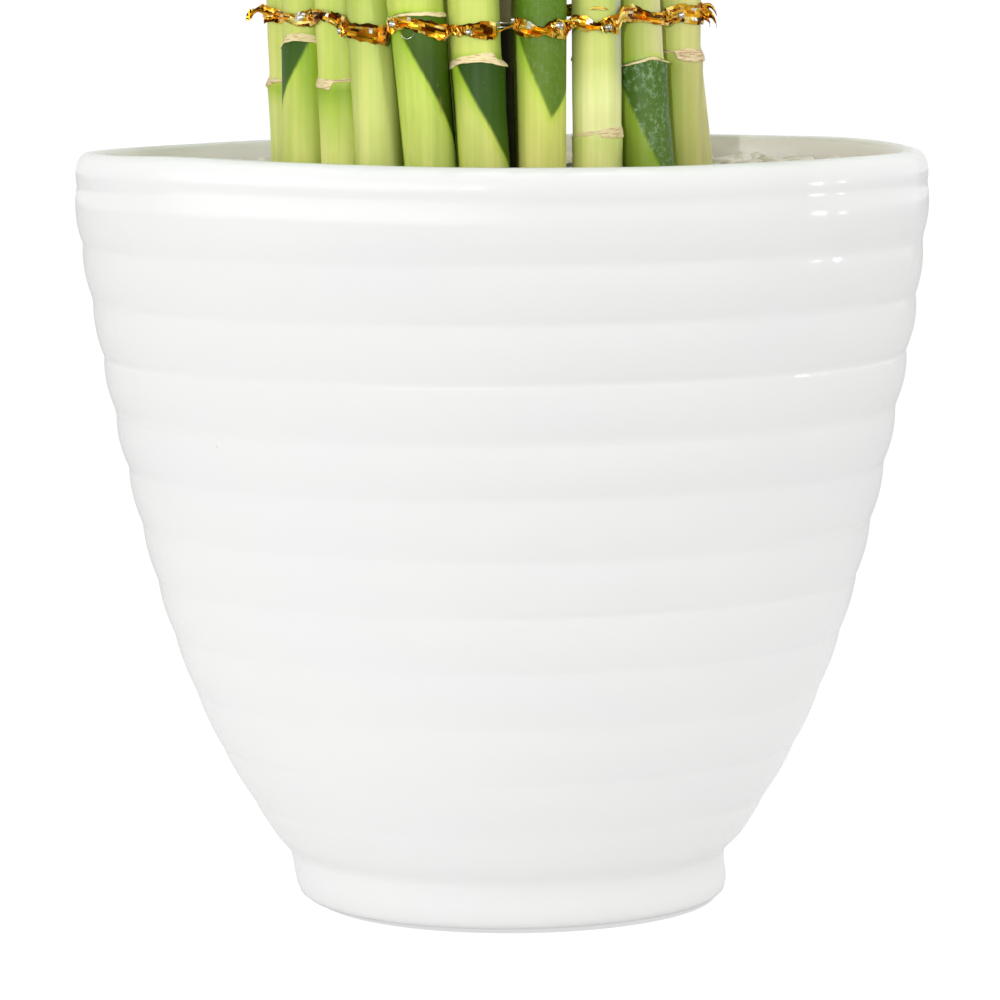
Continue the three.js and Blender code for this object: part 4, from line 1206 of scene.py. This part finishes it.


# The gold garland: crinkled foil tape tied round the canes, with a twisted knot here and there and beads of
# wire. front: the tape's upper and lower edge at places from left to right across the front. knots: place,
# height, length and thickness. glints, where the tape is painted white as painted highlights, and beads:
# place, height and radius. Between the two places of bare the tape is torn away and only its two wires cross.
garland = {
    "fullness": 1.13,  # how much wider the tape is than its edges below
    "step": 0.7,
    "strips": 7,  # rows of creases across the tape
    "thickness": 0.09,
    "crease": 2.3,  # length from crease to crease
    "crinkle": 0.2,  # how far a crease stands out
    "outFromCane": 0.7,
    "wrap": 46,  # degrees to either side that the tape lies on a cane
    "height": 184.6,
    "middleHeight": 232.0,
    "width": 2.5,
    "bareWidth": 0.25,
    "bare": (-0.4, 2.7),
    "wireRadius": 0.19,
    "wireHeights": (183.55, 182.7),
    "wireDepth": -44.2,
    "front": [(-48.6, 186.0, 184.6), (-44.5, 185.6, 184.0), (-41.8, 185.4, 183.1), (-39.9, 186.0, 182.9),
              (-37.4, 186.2, 183.6), (-36.7, 186.2, 184.4), (-33.9, 185.8, 183.4), (-32.0, 185.1, 181.5),
              (-30.7, 183.6, 180.9), (-29.8, 183.5, 180.8), (-26.6, 183.3, 180.1), (-23.2, 183.0, 179.5),
              (-22.1, 184.5, 181.9), (-20.9, 184.9, 182.4), (-19.2, 184.9, 182.9), (-15.0, 184.2, 181.5),
              (-11.4, 183.2, 180.3), (-10.1, 183.0, 181.3), (-7.5, 183.1, 181.4), (-5.3, 183.6, 180.9),
              (-3.2, 183.8, 180.6), (-0.4, 183.3, 180.4), (2.6, 184.6, 181.7), (5.2, 183.9, 180.9),
              (7.6, 182.8, 180.9), (8.5, 182.5, 181.4), (9.8, 183.7, 180.9), (11.4, 184.1, 180.6),
              (13.0, 183.8, 180.4), (14.1, 184.4, 182.6), (14.6, 185.0, 182.8), (17.1, 184.5, 181.8),
              (19.2, 183.2, 182.1), (21.2, 184.4, 181.8), (23.6, 184.9, 181.4), (24.4, 186.4, 183.7),
              (26.9, 186.6, 183.5), (30.1, 185.2, 183.2), (32.4, 184.9, 182.8), (34.1, 185.9, 182.7),
              (36.8, 186.6, 183.3), (40.3, 186.2, 182.8)],
    "knots": [(-38.6, 185.2, 2.2, 2.3), (-31.6, 182.3, 2.6, 2.6), (-21.5, 183.3, 2.4, 2.9),
              (-10.2, 182.4, 2.0, 1.9), (-8.4, 181.9, 2.0, 1.7), (-6.3, 182.1, 2.2, 2.0),
              (3.2, 183.2, 1.6, 2.6), (10.9, 182.4, 3.4, 3.0), (13.9, 182.9, 1.5, 1.7),
              (21.3, 182.9, 2.9, 2.6), (33.6, 184.4, 2.9, 2.3)],
    "glints": [(-41.0, 184.7, 0.95), (-40.9, 182.5, 0.55), (-35.3, 185.6, 0.5), (5.6, 183.2, 0.75),
               (17.6, 183.6, 0.6), (26.2, 185.4, 0.4), (39.4, 185.6, 0.6), (39.6, 183.7, 0.5),
               (-18.3, 184.5, 0.35), (-26.0, 182.2, 0.35)],
    "beads": [(-39.5, 185.3, 0.55), (-31.5, 182.1, 0.75), (-20.9, 183.6, 0.8), (-6.6, 181.9, 0.7),
              (11.3, 183.0, 0.95), (21.2, 182.5, 0.8), (35.8, 184.5, 0.85), (2.5, 184.2, 0.5)],
    "seed": 8,
}


# The garland's way round a ring of canes: an arc on the outside of each and a dip between two, softened, as
# points a step apart with the outward direction.
def garlandPath(names, height):
    places = []
    for name in names:
        axis = caneAxis(canes[name], np.array(height))
        facing = math.atan2(*(axis - growth["ringCentre"])[::-1])
        turn = facing + np.linspace(-garland["wrap"], garland["wrap"], 9) * degree
        radius = canes[name]["radius"] + garland["outFromCane"]
        places.append(axis + radius * np.stack([np.cos(turn), np.sin(turn)], -1))
    line = np.concatenate([*places, places[0][:1]])
    length = np.concatenate([[0], np.cumsum(np.hypot(*np.diff(line, axis=0).T))])
    s = np.linspace(0, length[-1], int(length[-1] / garland["step"]), endpoint=False)
    flat = np.stack([np.interp(s, length, line[:, 0]), np.interp(s, length, line[:, 1])], -1)
    for _ in range(2):
        flat = 0.5 * flat + 0.25 * (np.roll(flat, 1, 0) + np.roll(flat, -1, 0))
    ahead = np.roll(flat, -1, 0) - np.roll(flat, 1, 0)
    ahead = ahead / np.linalg.norm(ahead, axis=-1, keepdims=True)
    out = np.stack([ahead[:, 1], -ahead[:, 0], np.zeros(len(s))], -1)
    return s, np.column_stack([flat, np.full(len(s), height)]), out


# Foil along points: rows of creases run along the tape, each a line through random depths a crease apart. The
# section is thin and closed. Each flat facet takes one shade from cells as long as a crease: painted
# reflections, and white painted highlights at the glints.
def foilShell(points, out, width, rng, looped, glints=()):
    count, strips = len(points), garland["strips"]
    s = np.concatenate([[0], np.cumsum(np.linalg.norm(np.diff(points, axis=0), axis=1))])
    v = np.linspace(-1, 1, strips)[None, :]
    knots = np.arange(0, s[-1] + 2 * garland["crease"], garland["crease"])
    total = len(knots)
    relief = np.stack([np.interp(s, knots + rng.uniform(-0.9, 0.9, total), rng.uniform(-1, 1, total))
                       for _ in range(strips)], -1)
    relief = relief + np.where(np.arange(strips) % 2, 0.7, -0.7)
    relief = relief * garland["crinkle"] * np.minimum(1, width / 1.6)[:, None]
    edges = 1 + 0.07 * rng.standard_normal((count, strips))
    centre = points[:, None, :] + (v * edges * garland["fullness"] * width[:, None] / 2)[..., None] * upward
    half = garland["thickness"] / 2
    front = centre + (relief + half)[..., None] * out[:, None, :]
    back = centre + (relief - half)[..., None] * out[:, None, :]
    shell = tubeShell(np.concatenate([front, back[:, ::-1]], 1))
    columns = 2 * strips
    quads = gridFaces(count, columns, looped=looped)
    along, column = quads[:, 0] // columns, quads[:, 0] % columns
    shift, long = rng.uniform(0, 9, columns), rng.uniform(1.2, 3.4, columns)
    cell = ((s[along] + shift[column]) / long[column]).astype(int)
    shade = rng.uniform(0, 1, (cell.max() + 1, columns))[cell, column]
    middle = shell["points"][quads].mean(1)
    paintedGlint = np.zeros(len(quads))
    # Painted highlights: facets near each glint are painted white.
    for x, z, size in glints:
        near = np.hypot(middle[:, 0] - x, middle[:, 2] - z) < size
        paintedGlint = np.where(near & (middle[:, 1] < -8), 1.0, paintedGlint)
    odd = ((along + column) % 2 == 1)[:, None]
    first = np.where(odd, quads[:, [0, 1, 2]], quads[:, [0, 1, 3]])
    second = np.where(odd, quads[:, [0, 2, 3]], quads[:, [1, 2, 3]])
    ends = shell["triangles"][:0] if looped else shell["triangles"]
    if looped:
        shell["points"] = shell["points"][:count * columns]
    shades = np.stack([shade, paintedGlint], -1)
    shell["triangles"] = np.concatenate([first, second, ends])
    shell["quads"] = quads[:0]
    shell["facets"]["shade"] = np.concatenate([shades, shades, np.full((len(ends), 2), (0.4, 0.0))])
    return shell


# A knot of twisted foil: rings along a line whose radius swells and closes like a sine, with a star-shaped
# section that turns from ring to ring, and flat facets of random shades, painted reflections as on the tape.
def knotShell(middle, ahead, out, length, thick, rng):
    rows, columns = 8, 10
    t = np.linspace(0, 1, rows)[:, None]
    turn = np.linspace(0, 2 * math.pi, columns, endpoint=False)[None, :] + t * rng.uniform(1.2, 2.6)
    star = 1 + 0.2 * np.where(np.arange(columns) % 2, 1, -1)[None, :]
    star = star + 0.12 * rng.standard_normal((rows, columns))
    radius = thick / 2 * np.sin(math.pi * (0.1 + 0.8 * t)) ** 0.5 * star
    rings = (middle + ((t - 0.5) * length)[..., None] * ahead + (radius * np.cos(turn))[..., None] * upward
             - (0.7 * radius * np.sin(turn))[..., None] * out)
    shell = tubeShell(rings)
    quads = shell["quads"]
    shell["triangles"] = np.concatenate([quads[:, [0, 1, 2]], quads[:, [0, 2, 3]], shell["triangles"]])
    shell["quads"] = quads[:0]
    shades = np.zeros((len(shell["triangles"]), 2))
    shades[:, 0] = rng.uniform(0, 1, len(shades))
    shell["facets"]["shade"] = shades
    return shell


# A round wire along points: rings of a few sides about the line, turned with it.
def wireShell(points, radius, sides=8):
    points = np.asarray(points, float)
    ahead = np.gradient(points, axis=0)
    ahead = ahead / np.linalg.norm(ahead, axis=-1, keepdims=True)
    side = np.cross(ahead, np.array([0.13, 0.21, 0.97]))
    side = side / np.linalg.norm(side, axis=-1, keepdims=True)
    over = np.cross(ahead, side)
    turn = np.linspace(0, 2 * math.pi, sides, endpoint=False)
    rings = points[:, None, :] + radius * (np.cos(turn)[None, :, None] * side[:, None, :]
                                           + np.sin(turn)[None, :, None] * over[:, None, :])
    return tubeShell(rings)


# A bead of wound wire: a small ball flattened towards the cane, with rings pinched like turns of wire.
def beadShell(middle, radius, out):
    t = np.linspace(-0.97, 0.97, 9)
    reach = np.sqrt(1 - t * t) * (1 - 0.08 * (np.arange(9) % 2))
    turn = np.linspace(0, 2 * math.pi, 10, endpoint=False)
    ahead = np.cross(upward, out)
    rings = (middle + (radius * t)[:, None, None] * ahead
             + radius * reach[:, None, None] * (np.cos(turn)[None, :, None] * upward
                                                - 0.7 * np.sin(turn)[None, :, None] * out))
    return tubeShell(rings)


# One tie: the looped tape, its knots, and the wires and beads that show.
def tieShells(names, height, seed, front):
    rng = np.random.default_rng(seed)
    s, points, out = garlandPath(names, height)
    width = garland["width"] * (1 + 0.2 * wander(s / s[-1] * 2 * math.pi, rng, (5, 9, 14, 23)))
    points[:, 2] = height + 0.8 * wander(s / s[-1] * 2 * math.pi, rng, (3, 7, 11))
    if front:
        rows = np.array(garland["front"])
        inFront = smoothStep(3, -4, points[:, 1])
        top, low = (np.interp(points[:, 0], rows[:, 0], rows[:, i]) for i in (1, 2))
        width = width + inFront * (top - low - width)
        points[:, 2] = points[:, 2] + inFront * ((top + low) / 2 - points[:, 2])
        left, right = garland["bare"]
        torn = (points[:, 0] > left) & (points[:, 0] < right) & (points[:, 1] < 0)
        width = np.where(torn, garland["bareWidth"], width)
        points = points - out * np.where(torn, 0.8, 0)[:, None]
        knots = [(nearestPlace(points, x), z, long, thick) for x, z, long, thick in garland["knots"]]
        beads = [(nearestPlace(points, x), z, size) for x, z, size in garland["beads"]]
        others = np.arange(10, 20)
    else:
        knots, beads = [], []
        others = np.arange(len(names))
    for i in others:
        at = int((i + 0.5) / len(names) * len(s)) % len(s)
        z = points[at, 2]
        knots.append((at, z + rng.uniform(-0.4, 0.4), rng.uniform(1.8, 3), rng.uniform(1.8, 2.8)))
        beads.append((at, z + rng.uniform(-0.5, 0.5), rng.uniform(0.55, 0.9)))
    foil = [foilShell(points, out, width, rng, True, garland["glints"] if front else ())]
    for at, z, long, thick in knots:
        middle = np.array([points[at, 0], points[at, 1], z]) + 0.25 * out[at]
        foil.append(knotShell(middle, -np.cross(upward, out[at]), out[at], long, thick, rng))
    wires = []
    for at, z, size in beads:
        middle = np.array([points[at, 0], points[at, 1], z]) + 1.0 * out[at]
        wires.append(beadShell(middle, size, out[at]))
    return foil, wires, rng


# The number of the path's point in front that is nearest to a place across.
def nearestPlace(points, x):
    away = np.abs(points[:, 0] - x) + np.where(points[:, 1] > 0, 1000, 0)
    return int(np.argmin(away))


# A free end of tape: a strip along given points, each with its own width, to a torn tip.
def tailShell(route, rng):
    route = np.array(route, float)
    length = np.concatenate([[0], np.cumsum(np.linalg.norm(np.diff(route[:, :3], axis=0), axis=1))])
    s = np.arange(0, length[-1], 0.4)
    points = np.stack([np.interp(s, length, route[:, i]) for i in range(3)], -1)
    points[1:-1] = 0.5 * points[1:-1] + 0.25 * (points[2:] + points[:-2])
    ahead = np.gradient(points, axis=0)
    flat = np.array([ahead[:, 1], -ahead[:, 0], 0.0 * s]).T
    out = flat + np.array([-0.1, -0.6, 0.15]) + 0.25 * rng.standard_normal((len(s), 3))
    out = out / np.linalg.norm(out, axis=-1, keepdims=True)
    return foilShell(points, out, np.interp(s, length, route[:, 3]), rng, False)


# Thin metallised film with painted reflections: each facet is gold, amber, pale gold or, for the dark of the
# room, brown, and white at a painted highlight.
def goldFoil():
    material, tree, shader = newMaterial("gold_foil")
    _, (kind, paintedGlint, _), _ = readMark(tree, "shade")
    colour = mixColour(tree, ramped(tree, kind, 0.19, 0.23), (0.1, 0.028, 0.003), (0.5, 0.17, 0.008))
    colour = mixColour(tree, ramped(tree, kind, 0.4, 0.46), colour, (0.95, 0.47, 0.025))
    colour = mixColour(tree, ramped(tree, kind, 0.75, 0.8), colour, (1.0, 0.76, 0.22))
    colour = mixColour(tree, paintedGlint, colour, (1.0, 0.98, 0.93))
    tree.links.new(colour, shader.inputs["Base Color"])
    shader.inputs["Metallic"].default_value = 1.0
    shader.inputs["Roughness"].default_value = 0.22
    addBump(tree, shader, noiseValue(tree, (1.6, 1.6, 1.6), 2.0), 0.12, 0.4)
    return material


# Bare wire, bright with dull streaks.
def silverWire():
    material, tree, shader = newMaterial("silver_wire")
    scratch = ramped(tree, noiseValue(tree, (1.5, 1.5, 3.0), 2.0), 0.35, 0.65)
    colour = mixColour(tree, scratch, (0.32, 0.29, 0.27), (0.9, 0.88, 0.86))
    tree.links.new(colour, shader.inputs["Base Color"])
    shader.inputs["Metallic"].default_value = 1.0
    shader.inputs["Roughness"].default_value = 0.15
    return material


# Free ends by their points, each with the tape's width there, and loose loops of wire. paleGold: the shade of
# the last end's facets, a painted pale-gold reflection.
looseEnds = {
    "tape": [
        [(-43.6, -9.9, 185.1, 1.0), (-46.2, -8.8, 185.6, 1.1), (-48.2, -7.8, 186.1, 1.5),
         (-49.1, -7.4, 186.3, 1.9), (-49.9, -7.3, 186.3, 1.0), (-50.8, -7.3, 185.9, 0.7),
         (-51.7, -7.4, 185.2, 1.9), (-52.5, -7.5, 184.6, 1.2)],
        [(-42.5, -10.4, 183.9, 1.1), (-45.2, -9.3, 184.1, 1.2), (-47.2, -8.3, 184.3, 1.2),
         (-48.4, -7.8, 184.4, 1.4), (-48.9, -7.6, 183.8, 1.3)],
        [(40.4, -16.6, 185.0, 3.2), (41.6, -16.0, 185.2, 3.0), (42.4, -15.6, 184.9, 1.9),
         (43.4, -15.2, 184.2, 1.2), (44.1, -15.0, 183.0, 0.8), (44.3, -14.9, 181.6, 0.3)],
        [(41.6, -16.1, 186.3, 0.9), (42.9, -15.7, 186.4, 0.9), (43.8, -15.3, 185.5, 0.7),
         (44.3, -15.1, 184.2, 0.4)],
        [(41.3, -16.3, 184.4, 0.9), (42.2, -15.9, 183.7, 0.9), (42.9, -15.7, 182.9, 0.4),
         (42.8, -15.6, 182.0, 0.2)],
        [(17.9, -41.6, 186.2, 0.2), (18.8, -41.7, 186.4, 0.55), (20.6, -41.5, 186.2, 0.5),
         (21.6, -41.2, 186.0, 0.2)],
    ],
    "wire": [
        [(-19.9, -46.6, 181.9), (-19.6, -46.9, 181.0), (-18.7, -47.2, 180.6), (-17.7, -47.3, 180.9),
         (-17.2, -47.2, 181.8)],
        [(-11.0, -45.0, 181.6), (-10.95, -45.0, 180.8), (-11.05, -44.8, 179.9)],
    ],
    "wireRadius": 0.09,
    "paleGold": 0.9,
}

foilMaterial = goldFoil()
wireMaterial = silverWire()
foil, wires, rng = tieShells(outerNames, garland["height"], garland["seed"], True)
foil += [tailShell(route, rng) for route in looseEnds["tape"]]
foil[-1]["facets"]["shade"][:, 0] = looseEnds["paleGold"]
left, right = garland["bare"]
across = np.linspace(left - 1.5, right + 1.5, 12)
depth = garland["wireDepth"] + 0.45 * (across - left) * (across > left)
for height in garland["wireHeights"]:
    line = np.stack([across, depth, height + 0.08 * np.cos(across * 2)], -1)
    wires.append(wireShell(line, garland["wireRadius"]))
for route in looseEnds["wire"]:
    wires.append(wireShell(route, looseEnds["wireRadius"]))
addPiece("garland_outer", joinShells(foil), foilMaterial, ["tie_outer"], smooth=False)
addPiece("garland_outer_wire", joinShells(wires), wireMaterial)
foil, wires, rng = tieShells(middleNames, garland["middleHeight"], garland["seed"] + 1, False)
addPiece("garland_middle", joinShells(foil), foilMaterial, ["tie_middle"], smooth=False)
addPiece("garland_middle_wire", joinShells(wires), wireMaterial)
print("garland: two ties of foil, knots and wire")


# The studio: a lit white table, a soft light all round, a broad bright panel low on the left, two beams on
# the canes, and a window and its pane on the right that show as small highlights in the glaze. Lengths are in
# metres, and the camera's place in millimetres.
studio = {
    "floorRadius": 4.0,
    "floorTone": 0.55,
    "floorGlow": 0.27,
    "glowSpan": (0.45, 0.06),  # from the middle, where the glow starts and where it is full
    "paintedShadowShift": (-1.8, 5.2),  # of the thin shadow under the foot, in millimetres
    "paintedShadowEdge": (42.4, 41.4),  # its radius, where it starts and where it is full
    "sky": 0.865,
    "rise": 0.3,  # added towards the zenith
    "panel": 1.75,
    "panelSide": -50,  # degrees from the front
    "panelHeight": 0.08,  # sine of its elevation
    "window": {"place": (1.55, -0.01, 0.078), "size": (0.12, 0.055), "power": 0.32},
    "pane": {"place": (1.55, 0.25, 0.078), "size": (0.06, 0.035), "power": 0.07},
    "fill": {"place": (1.3, 0.7, 0.55), "size": (1.8, 1.6), "power": 1.5},
    "key": {"place": (0.3, -0.6, 2.0), "size": (1.2, 1.2), "power": 7.5},
    "beams": [{"place": (-0.25, -2.05, 0.345), "target": (0.0, -0.06, 0.991), "radius": 0.9, "power": 66.0},
              {"place": (1.15, -1.72, 0.345), "target": (0.0, -0.06, 0.995), "radius": 0.9, "power": 42.0}],
    "beamSize": 0.014,
    "beamBlend": 0.008,
    "cameraPlace": (-1.0, -1017.0, 199.4),
    "pitch": 6.53,
    "roll": 0.5,
    "lens": 175.2,
}


# Hangs a lamp at its place, turned to its target.
def hangLamp(light, place, target, power):
    light.energy = power
    lamp = bpy.data.objects.new(light.name, light)
    bpy.context.scene.collection.objects.link(lamp)
    lamp.location = place
    lamp.rotation_euler = (Vector(target) - Vector(place)).to_track_quat("-Z", "Y").to_euler()


# A rectangle of light turned to the middle of the pot's rim.
def addLight(name, place, size, power):
    light = bpy.data.lights.new(name, "AREA")
    light.shape = "RECTANGLE"
    light.size, light.size_y = size
    hangLamp(light, place, (0, 0, 0.15), power)


# A snooted lamp: a round beam whose lower edge lights the canes and passes over the pot.
def addBeam(place, target, radius, power):
    light = bpy.data.lights.new("beam", "SPOT")
    light.shadow_soft_size = studio["beamSize"]
    light.spot_size = 2 * math.atan(radius / (Vector(target) - Vector(place)).length)
    light.spot_blend = studio["beamBlend"]
    hangLamp(light, place, target, power)


# A round white table whose surface glows a little, and is lit to plain white where the camera looks at it.
def addFloor():
    turn = np.linspace(0, 2 * math.pi, 96, endpoint=False)
    radius = np.array([studio["floorRadius"], 1.0, 0.3, 0.1])[:, None]
    rings = np.stack([radius * np.cos(turn), radius * np.sin(turn), -0.05 * mm + 0 * radius * turn], -1)
    shell = tubeShell(rings)
    mesh = bpy.data.meshes.new("floor")
    mesh.from_pydata(shell["points"].tolist(), [], shell["quads"].tolist() + shell["triangles"][96:].tolist())
    material, tree, shader = newMaterial("pale_floor")
    shader.inputs["Base Color"].default_value = (*[studio["floorTone"]] * 3, 1)
    shader.inputs["Roughness"].default_value = 0.9
    shader.inputs["Specular IOR Level"].default_value = 0.0
    shader.inputs["Emission Color"].default_value = (1, 1, 1, 1)
    place = addNode(tree, "ShaderNodeTexCoord").outputs["Object"]
    away = addNode(tree, "ShaderNodeVectorMath", {0: place}, operation="LENGTH").outputs["Value"]
    glow = mathValue(tree, "MULTIPLY", ramped(tree, away, *studio["glowSpan"]), studio["floorGlow"])
    tree.links.new(glow, shader.inputs["Emission Strength"])
    # The thin shadow under the front of the foot is painted shadow, painted into the white that the camera
    # sees, which would hide a real one.
    shift = (*[length * mm for length in studio["paintedShadowShift"]], 0)
    shifted = addNode(tree, "ShaderNodeVectorMath", {0: place, 1: shift}, operation="ADD").outputs[0]
    near = addNode(tree, "ShaderNodeVectorMath", {0: shifted}, operation="LENGTH").outputs["Value"]
    paintedShadow = ramped(tree, near, *[length * mm for length in studio["paintedShadowEdge"]])
    lit = mathValue(tree, "MULTIPLY_ADD", paintedShadow, -0.45, 1.15)
    white = addNode(tree, "ShaderNodeEmission", {"Color": (1, 1, 1, 1), "Strength": lit})
    seen = addNode(tree, "ShaderNodeLightPath").outputs["Is Camera Ray"]
    share = mathValue(tree, "MULTIPLY", seen, 0.82)
    both = addNode(tree, "ShaderNodeMixShader", {0: share, 1: shader.outputs[0], 2: white.outputs[0]})
    tree.links.new(both.outputs[0], tree.nodes["Material Output"].inputs["Surface"])
    mesh.materials.append(material)
    floor = bpy.data.objects.new("floor", mesh)
    bpy.context.scene.collection.objects.link(floor)


# The world is even light plus the panel: a soft oval of brightness about its direction. The camera sees it
# white.
def addWorld():
    world = bpy.data.worlds.new("studio")
    bpy.context.scene.world = world
    world.use_nodes = True
    tree = world.node_tree
    background = tree.nodes["Background"]
    seen = addNode(tree, "ShaderNodeLightPath").outputs["Is Camera Ray"]
    ray = addNode(tree, "ShaderNodeTexCoord").outputs["Generated"]
    x, y, z = addNode(tree, "ShaderNodeSeparateXYZ", {"Vector": ray}).outputs
    side = studio["panelSide"] * degree
    ahead = mathValue(tree, "MULTIPLY", y, -math.cos(side))
    facing = mathValue(tree, "MULTIPLY_ADD", x, math.sin(side), ahead)
    off = mathValue(tree, "ABSOLUTE", mathValue(tree, "SUBTRACT", z, studio["panelHeight"]))
    oval = mathValue(tree, "MULTIPLY", ramped(tree, facing, 0.45, 0.98), ramped(tree, off, 0.32, 0.02))
    even = mathValue(tree, "MULTIPLY_ADD", mathValue(tree, "MAXIMUM", z, 0), studio["rise"], studio["sky"])
    light = mathValue(tree, "MULTIPLY_ADD", oval, studio["panel"], even)
    strength = addNode(tree, "ShaderNodeMix", {0: seen, 2: light, 3: 1.02}).outputs[0]
    background.inputs["Color"].default_value = (1, 1, 1, 1)
    tree.links.new(strength, background.inputs["Strength"])


def addCamera():
    camera = bpy.data.objects.new("camera", bpy.data.cameras.new("camera"))
    bpy.context.scene.collection.objects.link(camera)
    camera.data.sensor_width = 36
    camera.data.lens = studio["lens"]
    camera.data.clip_start = 0.05
    camera.data.clip_end = 20
    level = Matrix.Rotation(math.pi / 2 - studio["pitch"] * degree, 4, "X")
    rolled = Matrix.Rotation(-studio["roll"] * degree, 4, "Z")
    camera.matrix_world = Matrix.Translation([c * mm for c in studio["cameraPlace"]]) @ level @ rolled
    bpy.context.scene.camera = camera


addFloor()
addWorld()
for name in ("key", "window", "pane", "fill"):
    addLight(name, **studio[name])
for beam in studio["beams"]:
    addBeam(**beam)
addCamera()
bpy.context.scene.view_settings.view_transform = "Standard"
print("stage: floor, lights and camera")
